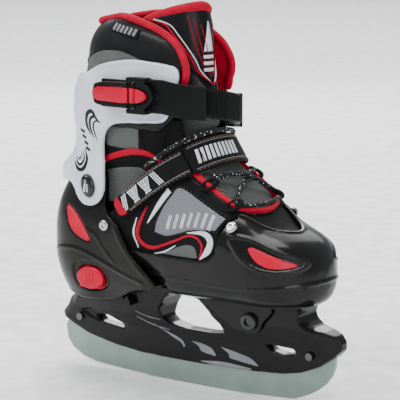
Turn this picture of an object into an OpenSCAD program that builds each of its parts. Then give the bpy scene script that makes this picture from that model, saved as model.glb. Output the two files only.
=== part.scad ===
// Adjustable children's ice skate for the right foot, in millimetres.
// +X points to the toe, +Z up and +Y to the inner side of the foot.
// The origin is at the middle of the blade's running edge.

/* [Boot] */
// X of the tip of the toe cap
toe_x = 120.5; // [119:0.5:122]
// X of the back of the heel shell
heel_x = -130.5; // [-132:0.5:-129]
// Half width of the toe box at its widest
toe_hw = 46; // [45:0.5:47]
// Height of the underside of the front shell above the ice
sole_z = 81; // [81:0.1:81.3]
// Wall thickness of the hard shells and the cuff
shell_t = 2.6; // [2.2:0.1:2.8]
// Thickness of the woven upper with its lining
upper_t = 4; // [3:0.5:4.5]
// Thickness of the padded collar
collar_t = 9; // [6:0.5:10]

/* [Cuff] */
// X of the ankle pivots
pivot_x = -75.5; // [-76.5:0.5:-74.5]
// Height of the ankle pivots
pivot_z = 157; // [156:0.5:158]
// Radius of the ankle pivot pins
pivot_r = 4; // [3:0.5:4.5]
// Radial clearance between a pivot pin and the cuff
pivot_gap = 0.05; // [0.02:0.01:0.1]
// Half width of the cuff at its top edge
cuff_hw = 41; // [40.5:0.5:42]

/* [Blade and holder] */
// Length of the blade
blade_l = 263; // [258:1:266]
// Thickness of the blade
blade_t = 3; // [2.6:0.1:3.4]
// Radius of the blade's rocker
rocker_r = 1000; // [900:50:1400]
// Length of the level stretch in the middle of the rocker
blade_flat = 40; // [30:2:44]
// Half width of the holder's deck under the boot
deck_hw = 24; // [22:0.5:24]
// Radius of the cross bolt through the toe lugs
bolt_r = 4; // [3:0.5:4.5]

/* [Buckle and straps] */
// Height of the ratchet strap
ladder_h = 23; // [20:1:25]
// Width of the instep strap
power_w = 27; // [24:1:30]
// Diameter of the lace
lace_d = 3.2; // [2.6:0.2:3.6]

/* [Hidden] */
$fn = 48;

gap = 0.3;                       // clearance between pieces that are not a fit
deck_top = sole_z - 0.1;         // top of the holder's deck
deck_t = 5;                      // thickness of the holder's deck
floor_t = 3.6;                   // thickness of the rear shell's floor
floor_top = sole_z + 0.5 + floor_t;
tower_hw = 14;                   // half width of the holder's towers
bolt_x = 63.5;
bolt_z = 62;
button_x = -77.5;
button_z = 82;
lever_x = -24;                   // X of the buckle's hinge pin
lever_y = -47.6;
buckle_z = 232.5;
strap_tilt = 56;                 // tilt of the instep strap's width from -X, towards +Z
crest_x = 26;                    // the instep strap's crest
crest_z = 189;

// ---- curves and lofts -------------------------------------------------------

function spow(v, p) = sign(v) * pow(abs(v), p);

// closed ring across the foot at x: half width hw, from z0 to z1, superellipse power e
function ring_x(x, hw, z0, z1, e, yc = 0, n = 28) = [
  for (i = [0:n - 1]) let (a = 360 * i / n)
    [x, yc + hw * spow(cos(a), 2 / e), (z0 + z1) / 2 + (z1 - z0) / 2 * spow(sin(a), 2 / e)]
];

// closed level ring at z: round heel at xb, half width w behind the ankle, wf at the front xf
function ring_u(z, xb, w, xf, wf, lr = 50, e = 2.3, n = 16) = concat(
  [[xf, wf, z], [(xf + xb + lr) / 2, (w + wf) / 2 + 0.5, z]],
  [for (i = [0:n]) let (a = 90 + 180 * i / n)
    [xb + lr * (1 - pow(abs(cos(a)), 2 / e)), w * spow(sin(a), 2 / e), z]],
  [[(xf + xb + lr) / 2, -(w + wf) / 2 - 0.5, z], [xf, -wf, z]]
);

module loft(rings) {
  n = len(rings[0]);
  m = len(rings);
  polyhedron(
    points = [for (r = rings) for (p = r) p],
    faces = concat(
      [[for (j = [0:n - 1]) j]],
      [for (i = [0:m - 2]) for (j = [0:n - 1]) let (k = (j + 1) % n)
        [i * n + j, (i + 1) * n + j, (i + 1) * n + k, i * n + k]],
      [[for (j = [n - 1:-1:0]) (m - 1) * n + j]]
    ),
    convexity = 8
  );
}

// an outline drawn in X and Z, extruded across the boot from y0 to y1
module side_cut(pts, y0 = -70, y1 = 70) {
  translate([0, y1, 0])
    rotate([90, 0, 0])
      linear_extrude(height = y1 - y0) polygon(pts);
}

function arc(cx, cz, r, a0, a1, n = 8) =
  [for (i = [0:n]) let (a = a0 + (a1 - a0) * i / n) [cx + r * cos(a), cz + r * sin(a)]];

// a band of thickness t and width w along the path; side is the width direction
module band(path, t, w, side) {
  n = len(path);
  dirs = [for (i = [0:n - 1]) path[min(i + 1, n - 1)] - path[max(i - 1, 0)]];
  outs = [for (d = dirs) let (c = cross(side, d)) c / norm(c)];
  loft([for (i = [0:n - 1]) let (p = path[i], o = outs[i] * t, s = side * w / 2)
    [p - s, p - s + o, p + s + o, p + s]]);
}

// a round tube of diameter d with 8 sides along the path
module tube(path, d, sides = 8) {
  n = len(path);
  loft([for (i = [0:n - 1])
    let (
      t = path[min(i + 1, n - 1)] - path[max(i - 1, 0)],
      f = t / norm(t),
      c0 = cross(f, abs(f.z) > 0.8 ? [1, 0, 0] : [0, 0, 1]),
      u = c0 / norm(c0),
      v = cross(f, u)
    )
    [for (j = [0:sides - 1]) let (a = 360 * j / sides) path[i] + d / 2 * (u * cos(a) + v * sin(a))]]);
}

// a point at t on the smooth curve through four neighbours
function spline(p0, p1, p2, p3, t) =
  (2 * p1 + t * (p2 - p0) + t * t * (2 * p0 - 5 * p1 + 4 * p2 - p3)
    + t * t * t * (3 * p1 - p0 - 3 * p2 + p3)) / 2;
function smooth(pts, k) = concat(
  [for (i = [0:len(pts) - 2]) for (s = [0:k - 1])
    spline(pts[max(i - 1, 0)], pts[i], pts[i + 1], pts[min(i + 2, len(pts) - 1)], s / k)],
  [pts[len(pts) - 1]]
);

// cylinder along Y from y0 to y1
module ycyl(x, z, r, y0, y1, f = 48) {
  translate([x, y1, z]) rotate([90, 0, 0]) cylinder(r = r, h = y1 - y0, $fn = f);
}

module both_sides() {
  children();
  mirror([0, 1, 0]) children();
}

// flat oval of width w and height h, standing in X and Z, from y0 to y1
module oval(x, z, w, h, y0, y1, tilt = 0) {
  translate([x, y1, z]) rotate([90, -tilt, 0]) linear_extrude(height = y1 - y0) {
    translate([-(w - h) / 2, 0]) circle(d = h);
    translate([(w - h) / 2, 0]) circle(d = h);
    square([w - h, h], center = true);
  }
}

// ---- shapes shared by several pieces ------------------------------------------

// front shell stations: x, half width, bottom, top, superellipse power
FRONT = [
  [-60, 35.5, 5, 69, 3.4], [-25, 38.8, 5, 71, 3.4], [-6, 40.6, 4.8, 72, 3.4],
  [-1, 41.2, 0.4, 73, 3.4], [25, 43.5, 0, 74, 3.2], [50, 45.6, 0, 74, 3], [60, 46, 0, 71, 2.95],
  [68, 46, 0, 66, 2.9], [75, 45.8, 0, 60.5, 2.85], [82, 45, 0, 56, 2.8], [94, 41.8, 0.5, 52, 2.7],
  [104, 36, 1.5, 48, 2.6], [111, 29, 3, 43, 2.5], [116, 21, 6, 36.5, 2.4], [119, 13, 10, 29.5, 2.3],
  [120.5, 4, 15, 22, 2.2]
];
// the toe leans to the inner side of the foot
function toe_yc(x) = x < 0 ? 0 : 4 * pow(x / 120, 2);
function toe_scale(hw) = hw * toe_hw / 46;
function station_x(x, t) = x < 68 ? x : 68 + (x - 68) * (toe_x - t - 68) / (120.5 - 68);

module front_loft(t) {
  loft([for (s = FRONT)
    ring_x(station_x(s[0], t), toe_scale(s[1]) - t, sole_z + s[2] + t, sole_z + s[3] - t, s[4],
      toe_yc(s[0]))]);
}

// the rim of the front shell's sides, and all above and behind it
module above_rim(d = 0) {
  side_cut([
    [-90, 210], [-90, 109 + d], [36, 110 + d], [45 - d, 112.5 + d], [50.5 - d, 118 + d],
    [52.5 - d, 130], [57 - d, 139 + d], [64, 146 + d], [72, 210]
  ]);
}

// level sections of the rear shell: z, back, half width, half width at the front
REAR = [
  [57, 13.5, 26, 30], [62, 11, 28.5, 34], [72, 6.5, 32.5, 39], [85, 2, 36, 43],
  [98, 0, 37.8, 44.3], [115, 0, 38, 44.3], [125, 0.5, 37.6, 43.6], [137, 3, 36.6, 42],
  [147, 7, 35.2, 40.5], [156, 11.5, 34, 39.5], [168, 15, 33, 38.5]
];
rear_front = -5;                 // X where the rear shell's sections end

module rear_loft(t) {
  loft([for (s = REAR) ring_u(s[0], heel_x + s[1] + t, s[2] - t, rear_front, s[3] - t)]);
}

// ---- blade, holder and their fasteners ----------------------------------------

blade_end = blade_l / 2;
// height of the running edge at x
function rocker(x) = abs(x) < blade_flat / 2 ? 0
  : rocker_r - sqrt(rocker_r * rocker_r - pow(abs(x) - blade_flat / 2, 2));
beam_bottom = [                  // underside of the holder, from heel to toe
  [-131.5, 38], [-107.5, 27], [-78.5, 21], [-50.5, 18], [0, 17.5], [56.5, 19], [84.5, 21],
  [101.5, 24.5], [117.5, 31], [132.5, 41]
];

module blade() {
  color([0.55, 0.62, 0.6])
    side_cut(concat(
      [for (x = [-100, -85, -70, -55, -40, -30]) [x, rocker(x)]],
      [[-blade_flat / 2, 0], [blade_flat / 2, 0]],
      [for (x = [30, 40, 55, 70, 85, 95]) [x, rocker(x)]],
      [[107, 7.5], [116, 12.5], [123, 18.5], [128, 25], [blade_end - 0.5, 33], [blade_end, 40]],
      [[117.5, 38], [84.5, 29], [50, 27], [-50.5, 26], [-78.5, 29], [-107.5, 35]],
      [[-126, 41], [-blade_end, 30], [-129.5, 19], [-124, 12], [-114, 6.5]]
    ), -blade_t / 2, blade_t / 2);
}

module holder_side() {
  difference() {
    side_cut(concat(
      beam_bottom,
      [[138.5, 47], [138.5, 53], [133.5, 58], [124.5, 60], [112.5, 61.5], [106.5, 66], [105, 71]],
      [[109, deck_top], [-110, deck_top], [-111, 66], [-116, 60], [-120.5, 57], [-125.5, 49]],
      [[-132, 43]]
    ));
    // arch between the towers
    side_cut([
      [-13.5, 75], [-21.5, 68.5], [-26.5, 60], [-26.5, 52], [-19.5, 47.5], [-3.5, 45], [18.5, 45],
      [33.5, 47], [31, 54], [22, 64], [13, 71.5], [1.5, 75]
    ]);
    // slot in the rear beam
    side_cut([[-97, 45], [-91, 39], [-67, 36], [-69, 40], [-85, 45]]);
    // slot in the front beam
    side_cut([[69, 43.5], [77, 38.5], [87, 37], [98, 39], [97.5, 43], [82, 43.5]]);
  }
}

module blade_holder() {
  color([0.06, 0.06, 0.06])
    difference() {
      intersection() {
        holder_side();
        // section of the beam, the towers and the deck
        translate([-140, 0, 0]) rotate([90, 0, 90]) linear_extrude(height = 290)
          polygon([
            [-3.4, 15], [-6, 40], [-9, 50], [-tower_hw, 60], [-tower_hw, deck_top - deck_t],
            [-deck_hw, deck_top - deck_t], [-deck_hw, deck_top], [deck_hw, deck_top],
            [deck_hw, deck_top - deck_t], [tower_hw, deck_top - deck_t], [tower_hw, 60],
            [9, 50], [6, 40], [3.4, 15]
          ]);
        // plan: both ends taper
        linear_extrude(height = 90)
          polygon([
            [-133, -4], [-118, -9], [-108, -14], [-96, -deck_hw], [98, -deck_hw], [110, -14],
            [125, -9], [139, -4], [139, 4], [125, 9], [110, 14], [98, deck_hw], [-96, deck_hw],
            [-108, 14], [-118, 9], [-133, 4]
          ]);
      }
      // groove that takes the blade
      side_cut(concat(
        [for (p = beam_bottom) [p.x * 1.02, p.y - 20]],
        [[141, 42], [117.5, 38.1], [84.5, 29.1], [50, 27.1], [-50.5, 26.1], [-78.5, 29.1]],
        [[-107.5, 35.1], [-126, 41.1], [-135, 44]]
      ), -blade_t / 2 - 0.03, blade_t / 2 + 0.03);
      // cross bolt, screw holes and the lugs' seats
      ycyl(bolt_x, bolt_z, bolt_r + 0.03, -30, 30);
      both_sides() side_cut(lug_outline(0.1), tower_hw - 2.05, 40);
      for (x = [-112, 112]) ycyl(x, x < 0 ? 40.5 : 39.5, 1.55, -30, 30, 24);
      for (x = [30, 92]) translate([x, 0, 60]) cylinder(r = 2.05, h = 30, $fn = 24);
    }
}

module blade_screws() {
  color([0.6, 0.6, 0.6])
    for (x = [-112, 112]) {
      z = x < 0 ? 40.5 : 39.5;
      hw = 7.2;
      ycyl(x, z, 1.5, -hw, hw, 24);
      ycyl(x, z, 3, -hw - 1.5, -hw, 24);
    }
}

function lug_outline(d) = [
  [20 - d, deck_top + d], [20 - d, 71], [32.5, 63 - d], [50, 54 - d],
  each arc(bolt_x, bolt_z, 10.5 + d, 235, 355, 8), [83 + d, 71], [83 + d, deck_top + d]
];

module toe_lugs() {
  color([0.07, 0.07, 0.07])
    both_sides() difference() {
      side_cut(lug_outline(0), tower_hw - 2, tower_hw + 2.5);
      translate([0, 0, deck_top]) cube([300, 100, 30]);
      ycyl(bolt_x, bolt_z, bolt_r + 0.03, 0, 30);
    }
}

module cross_bolt() {
  color([0.1, 0.1, 0.1])
    difference() {
      union() {
        ycyl(bolt_x, bolt_z, bolt_r, -tower_hw - 3, 9);
        ycyl(bolt_x, bolt_z, 7, -tower_hw - 6, -tower_hw - 2.55);
      }
      ycyl(bolt_x, bolt_z, 3, -tower_hw - 7, -tower_hw - 3.2, 6);
    }
}

module cross_bolt_nut() {
  color([0.1, 0.1, 0.1])
    difference() {
      union() {
        ycyl(bolt_x, bolt_z, bolt_r, 9.1, tower_hw + 3);
        ycyl(bolt_x, bolt_z, 7, tower_hw + 2.55, tower_hw + 5.5);
      }
      ycyl(bolt_x, bolt_z, 3, tower_hw + 3.2, tower_hw + 7, 6);
    }
}

module sole_screws() {
  color([0.5, 0.5, 0.5])
    for (x = [30, 92]) translate([x, 0, 0]) {
      translate([0, 0, 66]) cylinder(r = 2, h = sole_z - 66 + shell_t - 1, $fn = 24);
      translate([0, 0, sole_z + shell_t - 1]) cylinder(r = 3.6, h = 0.9, $fn = 24);
    }
}

// ---- front shell and what it carries ------------------------------------------

// opening of the toe cap over the instep, in X and Y
THROAT = [
  [20, -25], [52, -25], [66, -23.5], [78, -20], [88, -14], [94, -6], [96, 2.5], [94, 11], [88, 19],
  [78, 25], [66, 28.5], [52, 30], [20, 30]
];

module front_shell() {
  color([0.08, 0.08, 0.07])
    difference() {
      front_loft(0);
      front_loft(shell_t);
      above_rim();
      // throat over the instep
      translate([0, 0, 118]) linear_extrude(height = 50) polygon(THROAT);
      // the back end is open
      translate([-62, -60, sole_z + 5 + shell_t]) cube([6, 120, 60]);
      front_rivet_axis() translate([0, 0, -20]) cylinder(r = 2.05, h = 40, $fn = 24);
      for (x = [30, 92]) translate([x, 0, 0]) {
        translate([0, 0, 70]) cylinder(r = 2.05, h = 18, $fn = 24);
        translate([0, 0, sole_z + shell_t - 1.05]) cylinder(r = 3.7, h = 3, $fn = 24);
      }
    }
}

// outline of the toe vents, in X and Z
VENT = [[80, 125.5], [85, 119], [93, 114.5], [103, 114.2], [113, 116], [105, 118.5], [93, 122]];

module toe_vent_lenses() {
  color([0.8, 0.05, 0.1])
    for (y0 = [15, -60]) difference() {
      intersection() {
        front_loft(-0.7);
        side_cut(VENT, y0, y0 + 45);
      }
      front_loft(-0.05);
    }
}

// places a rivet on the shell's shoulder, on both sides, along +Z of its children
module front_rivet_axis() {
  for (side = [-1, 1]) translate([63, toe_yc(63) + side * 41.6, 138.5])
    rotate([side * -65, 0, 0]) children();
}

module front_rivets() {
  color([0.75, 0.75, 0.75])
    front_rivet_axis() {
      translate([0, 0, -8.5]) cylinder(r = 2, h = 9, $fn = 24);
      translate([0, 0, 0.55]) cylinder(r = 4.2, h = 1.5, $fn = 24);
    }
}

// stations of the woven upper above the shell's rim: x, half width, top
INSTEP = [
  [-74, 33, 150], [-60, 34.5, 165], [-25, 37.5, 185], [0, 39.5, 200], [15, 40.5, 196],
  [25, 41.5, 186.5], [40, 43, 173.6], [52, 44, 164.5], [62, 44.6, 154], [70, 44.6, 146],
  [78, 43.9, 138.5], [86, 42, 134]
];
instep_z0 = sole_z + 8.2;
instep_e = 2.4;
// height of the upper's surface at x and y
function instep_z(x, y) = let (
    hw = lookup(x, [for (s = INSTEP) [s[0], s[1]]]),
    z1 = lookup(x, [for (s = INSTEP) [s[0], s[2]]]),
    side = min(0.99, abs(y - toe_yc(x)) / hw)
  ) (instep_z0 + z1) / 2 + (z1 - instep_z0) / 2 * pow(1 - pow(side, instep_e), 1 / instep_e);
upper_edge = [                   // line under the instep strap where the upper ends
  [-90, 134], [-60, 136], [-30, 152], [0, 169], [36, 190], [60, 215], [-90, 215]
];

module instep_loft(t) {
  loft([for (s = INSTEP)
    ring_x(s[0], s[1] - t, instep_z0 + t, s[2] - t, instep_e, toe_yc(s[0]), 28)]);
}

module upper_wall(t) {
  intersection() {
    instep_loft(t);
    above_rim(0.6);
  }
  front_loft(shell_t + 0.4 + t);
}

module boot_upper() {
  color([0.5, 0.5, 0.52])
    difference() {
      upper_wall(0);
      upper_wall_inner();
      side_cut(upper_edge);
      // the throat, closed by the tongue
      translate([20, -17, 124]) cube([52, 34, 80]);
      // the back end is open
      translate([-95, -60, 60]) cube([24, 120, 120]);
      front_rivet_axis() translate([0, 0, -20]) cylinder(r = 2.05, h = 40, $fn = 24);
    }
}

module upper_wall_inner() {
  instep_loft(upper_t);
  front_loft(shell_t + 0.4 + upper_t);
  translate([-76, -27, sole_z + 12.5]) cube([20, 54, 90]);
}

// outer edge of the footbed, in X and Y
FOOTBED = [[-54, -13], [-12, -15], [4, -22], [40, -24], [65, -25], [82, -21], [92, -12]];

module footbed() {
  color([0.15, 0.15, 0.15])
    translate([0, 0, 95]) linear_extrude(height = 3.5)
      polygon(concat(
        FOOTBED,
        [for (i = [len(FOOTBED) - 1:-1:0]) [FOOTBED[i].x, -FOOTBED[i].y + 3]]
      ));
}

module tongue_lower() {
  color([0.4, 0.4, 0.4])
    side_cut([
      [71.5, 139], [62, 148.5], [52, 159], [40, 168.5], [31, 176.5], [25, 182.5],
      [21.5, 178.5], [27.5, 172.5], [37, 164.5], [48.5, 155], [58, 145], [67, 136.5]
    ], -16.6, 16.6);
}

// the lace's route over the throat: x, y and the height above the upper
LACE = [
  [37, 22, 3], [36.5, 27, 3], [38, 25, 2.6], [41, 14, 2.6], [46, 1, 2.6], [51, -12, 2.6],
  [56, -24, 2.6], [58.5, -28, 3.2], [61, -26, 3], [64.5, -14, 2.6], [66, 0, 2.6], [64.5, 16, 2.6],
  [61, 27, 3], [58.5, 31, 3.2], [55.5, 26, 2.6], [51, 14, 5], [46, 1, 7.4], [41, -12, 5],
  [38, -25, 2.6], [36.5, -27, 3], [37, -22, 3]
];
// its last run lies round the ankle, on the upper edge of the instep strap: d and y as in strap_pt
LACE_TOP = [
  [46, 38], [40, 40.2], [30, 40.8], [20, 39.4], [12, 36.4], [6, 32], [1.5, 25], [-1.5, 16],
  [-3, 6], [-3, -6], [-1.5, -16], [1.5, -25], [6, -32], [12, -36.4], [20, -39.4], [30, -40.8],
  [40, -40.2], [46, -38]
];

module lace() {
  color([0.05, 0.05, 0.05]) {
    tube(smooth([for (p = LACE) [p.x, p.y, instep_z(p.x, p.y) + p.z]], 2), lace_d);
    tube([for (p = LACE_TOP) strap_pt(p.x, p.y) + strap_side * (power_w / 2 + 2.4)], lace_d);
  }
}

// a webbing loop that guides the lace, flat on the upper
module loop_ring(x, y) {
  translate([x, y, instep_z(x, y) + 2.2]) rotate([sign(y) * -38, 35, 0])
    rotate_extrude($fn = 24) translate([4, 0]) circle(r = 1.1, $fn = 16);
}

module lace_loops() {
  color([0.05, 0.05, 0.05])
    for (side = [-1, 1]) {
      loop_ring(37, side * 32);
      loop_ring(58, side * 30);
    }
}

// ---- instep strap ---------------------------------------------------------------

strap_side = [-cos(strap_tilt), 0, sin(strap_tilt)];
strap_run = [sin(strap_tilt), 0, cos(strap_tilt)];
// a point of the strap: d back along the run from the crest, and y across the boot
function strap_pt(d, y) = [crest_x, y, crest_z] + strap_run * -d;

module instep_strap() {
  color([0.05, 0.05, 0.05])
    band([
      strap_pt(76, 40.8), strap_pt(50, 42.4), strap_pt(34, 42.7), strap_pt(20, 41.2),
      strap_pt(13, 38.8), strap_pt(8, 35.8), strap_pt(4, 31.8), strap_pt(0.5, 26),
      strap_pt(-2.5, 19), strap_pt(-4.3, 10), strap_pt(-4.8, 0), strap_pt(-4.3, -10),
      strap_pt(-2.5, -19), strap_pt(0.5, -26), strap_pt(4, -31.8), strap_pt(8, -35.8)
    ], 3, power_w, -strap_side);
}

module instep_flap() {
  color([0.06, 0.06, 0.06])
    band([
      strap_pt(9.3, -36.9), strap_pt(13, -38.9), strap_pt(20, -41.4), strap_pt(34, -43),
      strap_pt(50, -42.8), strap_pt(65, -42), strap_pt(78, -41.2), strap_pt(88, -40.6)
    ], 3, power_w - 8, -strap_side);
}

module instep_strap_rivet() {
  p = strap_pt(70, 0);
  color([0.5, 0.5, 0.5]) ycyl(p.x, p.z, 3, 33, 43.5, 24);
}

// ---- rear shell and what it carries --------------------------------------------------

module rear_shell() {
  color([0.09, 0.09, 0.08])
    difference() {
      intersection() {
        rear_loft(0);
        side_cut([
          [-140, 64], [-100, 64], [-96.5, 62], [-75.5, 63], [-56.5, 66], [-45.5, 71], [-32.5, 77.5],
          [-12.5, 81], [-7, 84], [-14.5, 92], [-24.5, 100], [-34.5, 108], [-41.5, 118],
          [-47.5, 128], [-58, 135], [-62.5, 142], [-63, 166], [-140, 166]
        ]);
      }
      // room for the foot, above the floor
      intersection() {
        rear_loft(shell_t);
        translate([-200, -100, floor_top]) cube([300, 200, 100]);
      }
      // room for the holder, below the floor
      intersection() {
        rear_loft(shell_t);
        translate([-200, -100, 0]) cube([300, 200, sole_z + 0.5]);
      }
      // the walls end open at the front
      translate([-30, -37, floor_top]) cube([60, 74, 40]);
      translate([-30, -34, 50]) cube([60, 68, sole_z + 0.5 - 50]);
      // window and pocket for the size button
      oval(button_x, button_z, 27.6, 18.6, -60, -20);
      translate([button_x - 17, -35, button_z - 11]) cube([34, 12, 21]);
      both_sides() ycyl(pivot_x, pivot_z, pivot_r + 0.02, 20, 60);
      both_sides() ycyl(-59.5, 127, 2.05, 20, 60, 24);
    }
}

// outline of the heel vents, in X and Z
TEAR = [[-104.5, 136], [-100, 128], [-94, 119], [-83, 112], [-84.5, 119], [-89.5, 127], [-97, 134.5]];

module heel_vent_inserts() {
  color([0.8, 0.05, 0.1])
    both_sides() difference() {
      intersection() {
        rear_loft(-0.7);
        side_cut(TEAR, 25, 60);
      }
      rear_loft(-0.05);
    }
}

module heel_rivets() {
  color([0.75, 0.75, 0.75])
    both_sides() {
      ycyl(-59.5, 127, 2, 36.5, 40.5, 24);
      ycyl(-59.5, 127, 4.2, 40.3, 41.9, 24);
    }
}

module heel_pad() {
  color([0.2, 0.2, 0.2])
    difference() {
      intersection() {
        rear_loft(shell_t + 0.5);
        side_cut([[-140, 93], [-79, 93], [-79, 138], [-82, 150], [-92, 165.5], [-140, 165.5]]);
      }
      rear_loft(shell_t + 0.5 + 7);
    }
}

module heel_cushion() {
  color([0.15, 0.15, 0.15])
    translate([0, 0, floor_top + 0.3]) linear_extrude(height = 6) {
      translate([-98, 0]) circle(r = 20);
      translate([-98, -20]) square([22, 40]);
    }
}

module heel_guides() {
  color([0.4, 0.4, 0.4])
    for (x = [-96, -58]) both_sides() translate([x, 0, 0]) {
      translate([0, deck_hw + gap, 71.5]) cube([10, 2.6, sole_z + 0.4 - 71.5]);
      translate([0, 20, 71.5]) cube([10, deck_hw + gap - 20, deck_top - deck_t - gap - 71.5]);
    }
}

module ankle_pivots() {
  color([0.6, 0.6, 0.6])
    both_sides() {
      ycyl(pivot_x, pivot_z, pivot_r, 29.4, 39.2);
      ycyl(pivot_x, pivot_z, 6.5, 28, 29.6);
    }
}

// the stretch panel round the ankle, between the upper and the padded collar
GUSSET = [
  [141, -112, 28, 10, 26], [165, -109, 28.3, 12, 26], [182, -105.5, 33, 13, 28],
  [199.5, -104.5, 34, 13, 29]
];

module ankle_gusset() {
  color([0.4, 0.4, 0.38])
    difference() {
      intersection() {
        loft([for (s = GUSSET) ring_u(s[0], s[1], s[2], s[3], s[4])]);
        side_cut([
          [-120, 166.5], [-92, 166.5], [-79, 150], [-66, 142], [-30, 147], [2, 166], [9, 185],
          [9, 199.4], [-120, 199.4]
        ]);
      }
      loft([for (s = GUSSET) ring_u(s[0], s[1] + 4, s[2] - 4, s[3], s[4] - 4)]);
    }
}

// front face of the tongue at height z
function tongue_x(z) = lookup(z, [
  [184, 13], [199, 13.5], [205, 17], [214, 20], [224, 20.5], [234, 18], [246, 16.5],
  [275, 16.5], [290, 16.5], [302, 15]
]);

module tongue(z0, z1, hw, t) {
  steps = 7;
  n = 8;
  loft([for (i = [0:steps]) let (z = z0 + (z1 - z0) * i / steps) concat(
    [for (j = [-n:n]) let (y = hw * j / n) [tongue_x(z) - 16 * pow(y / 26, 2), y, z]],
    [for (j = [n:-1:-n]) let (y = (hw - 1) * j / n) [tongue_x(z) - t - 15 * pow(y / 26, 2), y, z]]
  )]);
}

module tongue_flex() {
  color([0.35, 0.35, 0.35]) tongue(186, 227.4, 22, 5);
}

module tongue_upper() {
  color([0.12, 0.12, 0.12]) tongue(227.8, 302, 23, 7);
}

// ---- size button -------------------------------------------------------------------

module size_button() {
  color([0.8, 0.05, 0.1]) {
    oval(button_x, button_z, 26.8, 17.8, -37.2, -31.9);
    // flange behind the shell's wall, and the arm down to the pawl
    translate([button_x - 15, -32, button_z - 9.6]) cube([30, 1.6, 18.6]);
    translate([button_x - 3, -30.4, 72.2]) cube([6, 2.8, 10]);
    translate([button_x - 3, -30.4, 72.2]) cube([6, 12.4, 1.6]);
    translate([button_x - 3, -20, 69]) cube([6, 2, 4]);
  }
}

rack_pitch = 5.2;

module size_rack() {
  color([0.5, 0.5, 0.5])
    side_cut(concat(
      [[-104, 60], [-50, 60]],
      [for (i = [0:9]) each [[-51 - i * rack_pitch, 64], [-53.4 - i * rack_pitch, 67.8]]],
      [[-104, 64]]
    ), -tower_hw - 6, -tower_hw - 0.05);
}

module button_spring() {
  turns = 4;
  steps = 18;
  color([0.7, 0.7, 0.7])
    tube([for (i = [0:turns * steps]) let (a = 360 * i / steps)
      [button_x + 10 + 2.6 * cos(a), -29.6 + 5 * i / (turns * steps), 84 + 2.6 * sin(a)]], 0.8, 6);
}

// ---- cuff ----------------------------------------------------------------------------

// level sections of the cuff: z, back, half width, half width at the front
CUFF = [
  [138, -123, 41, 41.5], [149, -123.2, 40, 40.5], [157, -123.4, 39.4, 40],
  [166, -123.5, 39.2, 39.5], [172, -119.5, 38.9, 39], [178, -113.5, 38.6, 38.5],
  [188, -109.5, 38.6, 37.5], [198, -109, 38.9, 37], [212, -111, 39.4, 36.5],
  [227, -110, 40.2, 36.5], [238, -106, 41, 37], [246, -102, 41, 37.3], [260, -98, 41, 37.5]
];
cuff_front = 14;

module cuff_loft(t) {
  loft([for (s = CUFF)
    ring_u(s[0], s[1] + t, s[2] + cuff_hw - 41 - t, cuff_front, s[3] - t, 52)]);
}

module cuff() {
  color([0.85, 0.85, 0.88])
    difference() {
      intersection() {
        cuff_loft(0);
        side_cut(concat(
          [[-130, 156], [-100, 158], [-92, 153]],
          arc(pivot_x, pivot_z, 16, 215, 340, 8),
          [[-60.5, 160], [-61, 184]],
          arc(-48, 195, 13, 180, 95, 5),
          [[-9, 211], [-3, 213], [1, 219], [10.5, 244], [10.5, 251], [7.5, 255], [-14.5, 258]],
          [[-31.5, 259], [-48.5, 257], [-64.5, 253], [-80, 246.5], [-125, 240]]
        ));
      }
      cuff_loft(shell_t);
      // oval window over the tendon
      translate([-130, 0, 184.5]) rotate([90, 0, 90]) linear_extrude(height = 40) {
        for (y = [-8, 8]) translate([y, 0]) circle(r = 8.5);
        square([16, 17], center = true);
      }
      both_sides() ycyl(pivot_x, pivot_z, pivot_r + pivot_gap, 20, 60);
    }
}

module pivot_caps() {
  color([0.05, 0.05, 0.05])
    both_sides() difference() {
      oval(pivot_x, pivot_z, 18.5, 12, 40.1, 42, -68);
      ycyl(pivot_x, pivot_z, pivot_r + 0.5, 30, 40.4);
    }
}

COLLAR = [
  [200, -105, 35, 9, 32], [220, -106, 35.6, 10, 32.5], [238, -102, 36.6, 13, 33],
  [250, -97.6, 37.8, 15, 33.5], [262, -96.5, 37.6, 14, 33], [272, -94, 36, 11, 32],
  [282, -87, 33.5, 6, 30], [294, -72, 29, 0, 27]
];

module collar_loft(t) {
  loft([for (s = COLLAR) ring_u(s[0], s[1] + t, s[2] - t, s[3], s[4] - t, 48, 2.2)]);
}

module collar() {
  color([0.1, 0.1, 0.1])
    difference() {
      intersection() {
        collar_loft(0);
        side_cut([
          [-120, 200], [-14, 200], [-4, 206], [6, 216], [9.5, 232], [11.5, 243], [16.5, 250],
          [14.5, 260], [9.5, 270], [0.5, 279], [-12.5, 286], [-25.5, 290], [-39.5, 293],
          [-51.5, 293], [-61.5, 291],
          [-71.5, 289.5], [-84, 286], [-120, 270]
        ]);
      }
      collar_loft(collar_t);
      // the front is open for the tongue
      translate([-6, -24.5, 190]) cube([40, 49, 120]);
    }
}

// ---- ratchet buckle and ladder strap ---------------------------------------------------

function ladder_z(y) = 223.5 - 0.2 * y;
function ladder_pt(x, y) = [x, y, ladder_z(y)];

module ladder_strap() {
  color([0.06, 0.06, 0.06])
    band([
      ladder_pt(12.5, -36), ladder_pt(19, -29.4), ladder_pt(25, -21), ladder_pt(29.4, -11),
      ladder_pt(32, 2), ladder_pt(30.6, 14), ladder_pt(25.5, 25), ladder_pt(17, 34),
      ladder_pt(5, 40.4), ladder_pt(-8, 43.2)
    ], 2.4, ladder_h, [0, 0, 1]);
}

module ladder_end() {
  color([0.06, 0.06, 0.06])
    band([
      ladder_pt(21, 34.8), ladder_pt(10, 42), ladder_pt(0, 45), ladder_pt(-14, 46.6)
    ], 2.5, ladder_h + 4, [0, 0, 1]);
}

module ladder_rivet() {
  color([0.5, 0.5, 0.5]) ycyl(-4, ladder_z(42), 3, 38.4, 47.6, 24);
}

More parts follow.
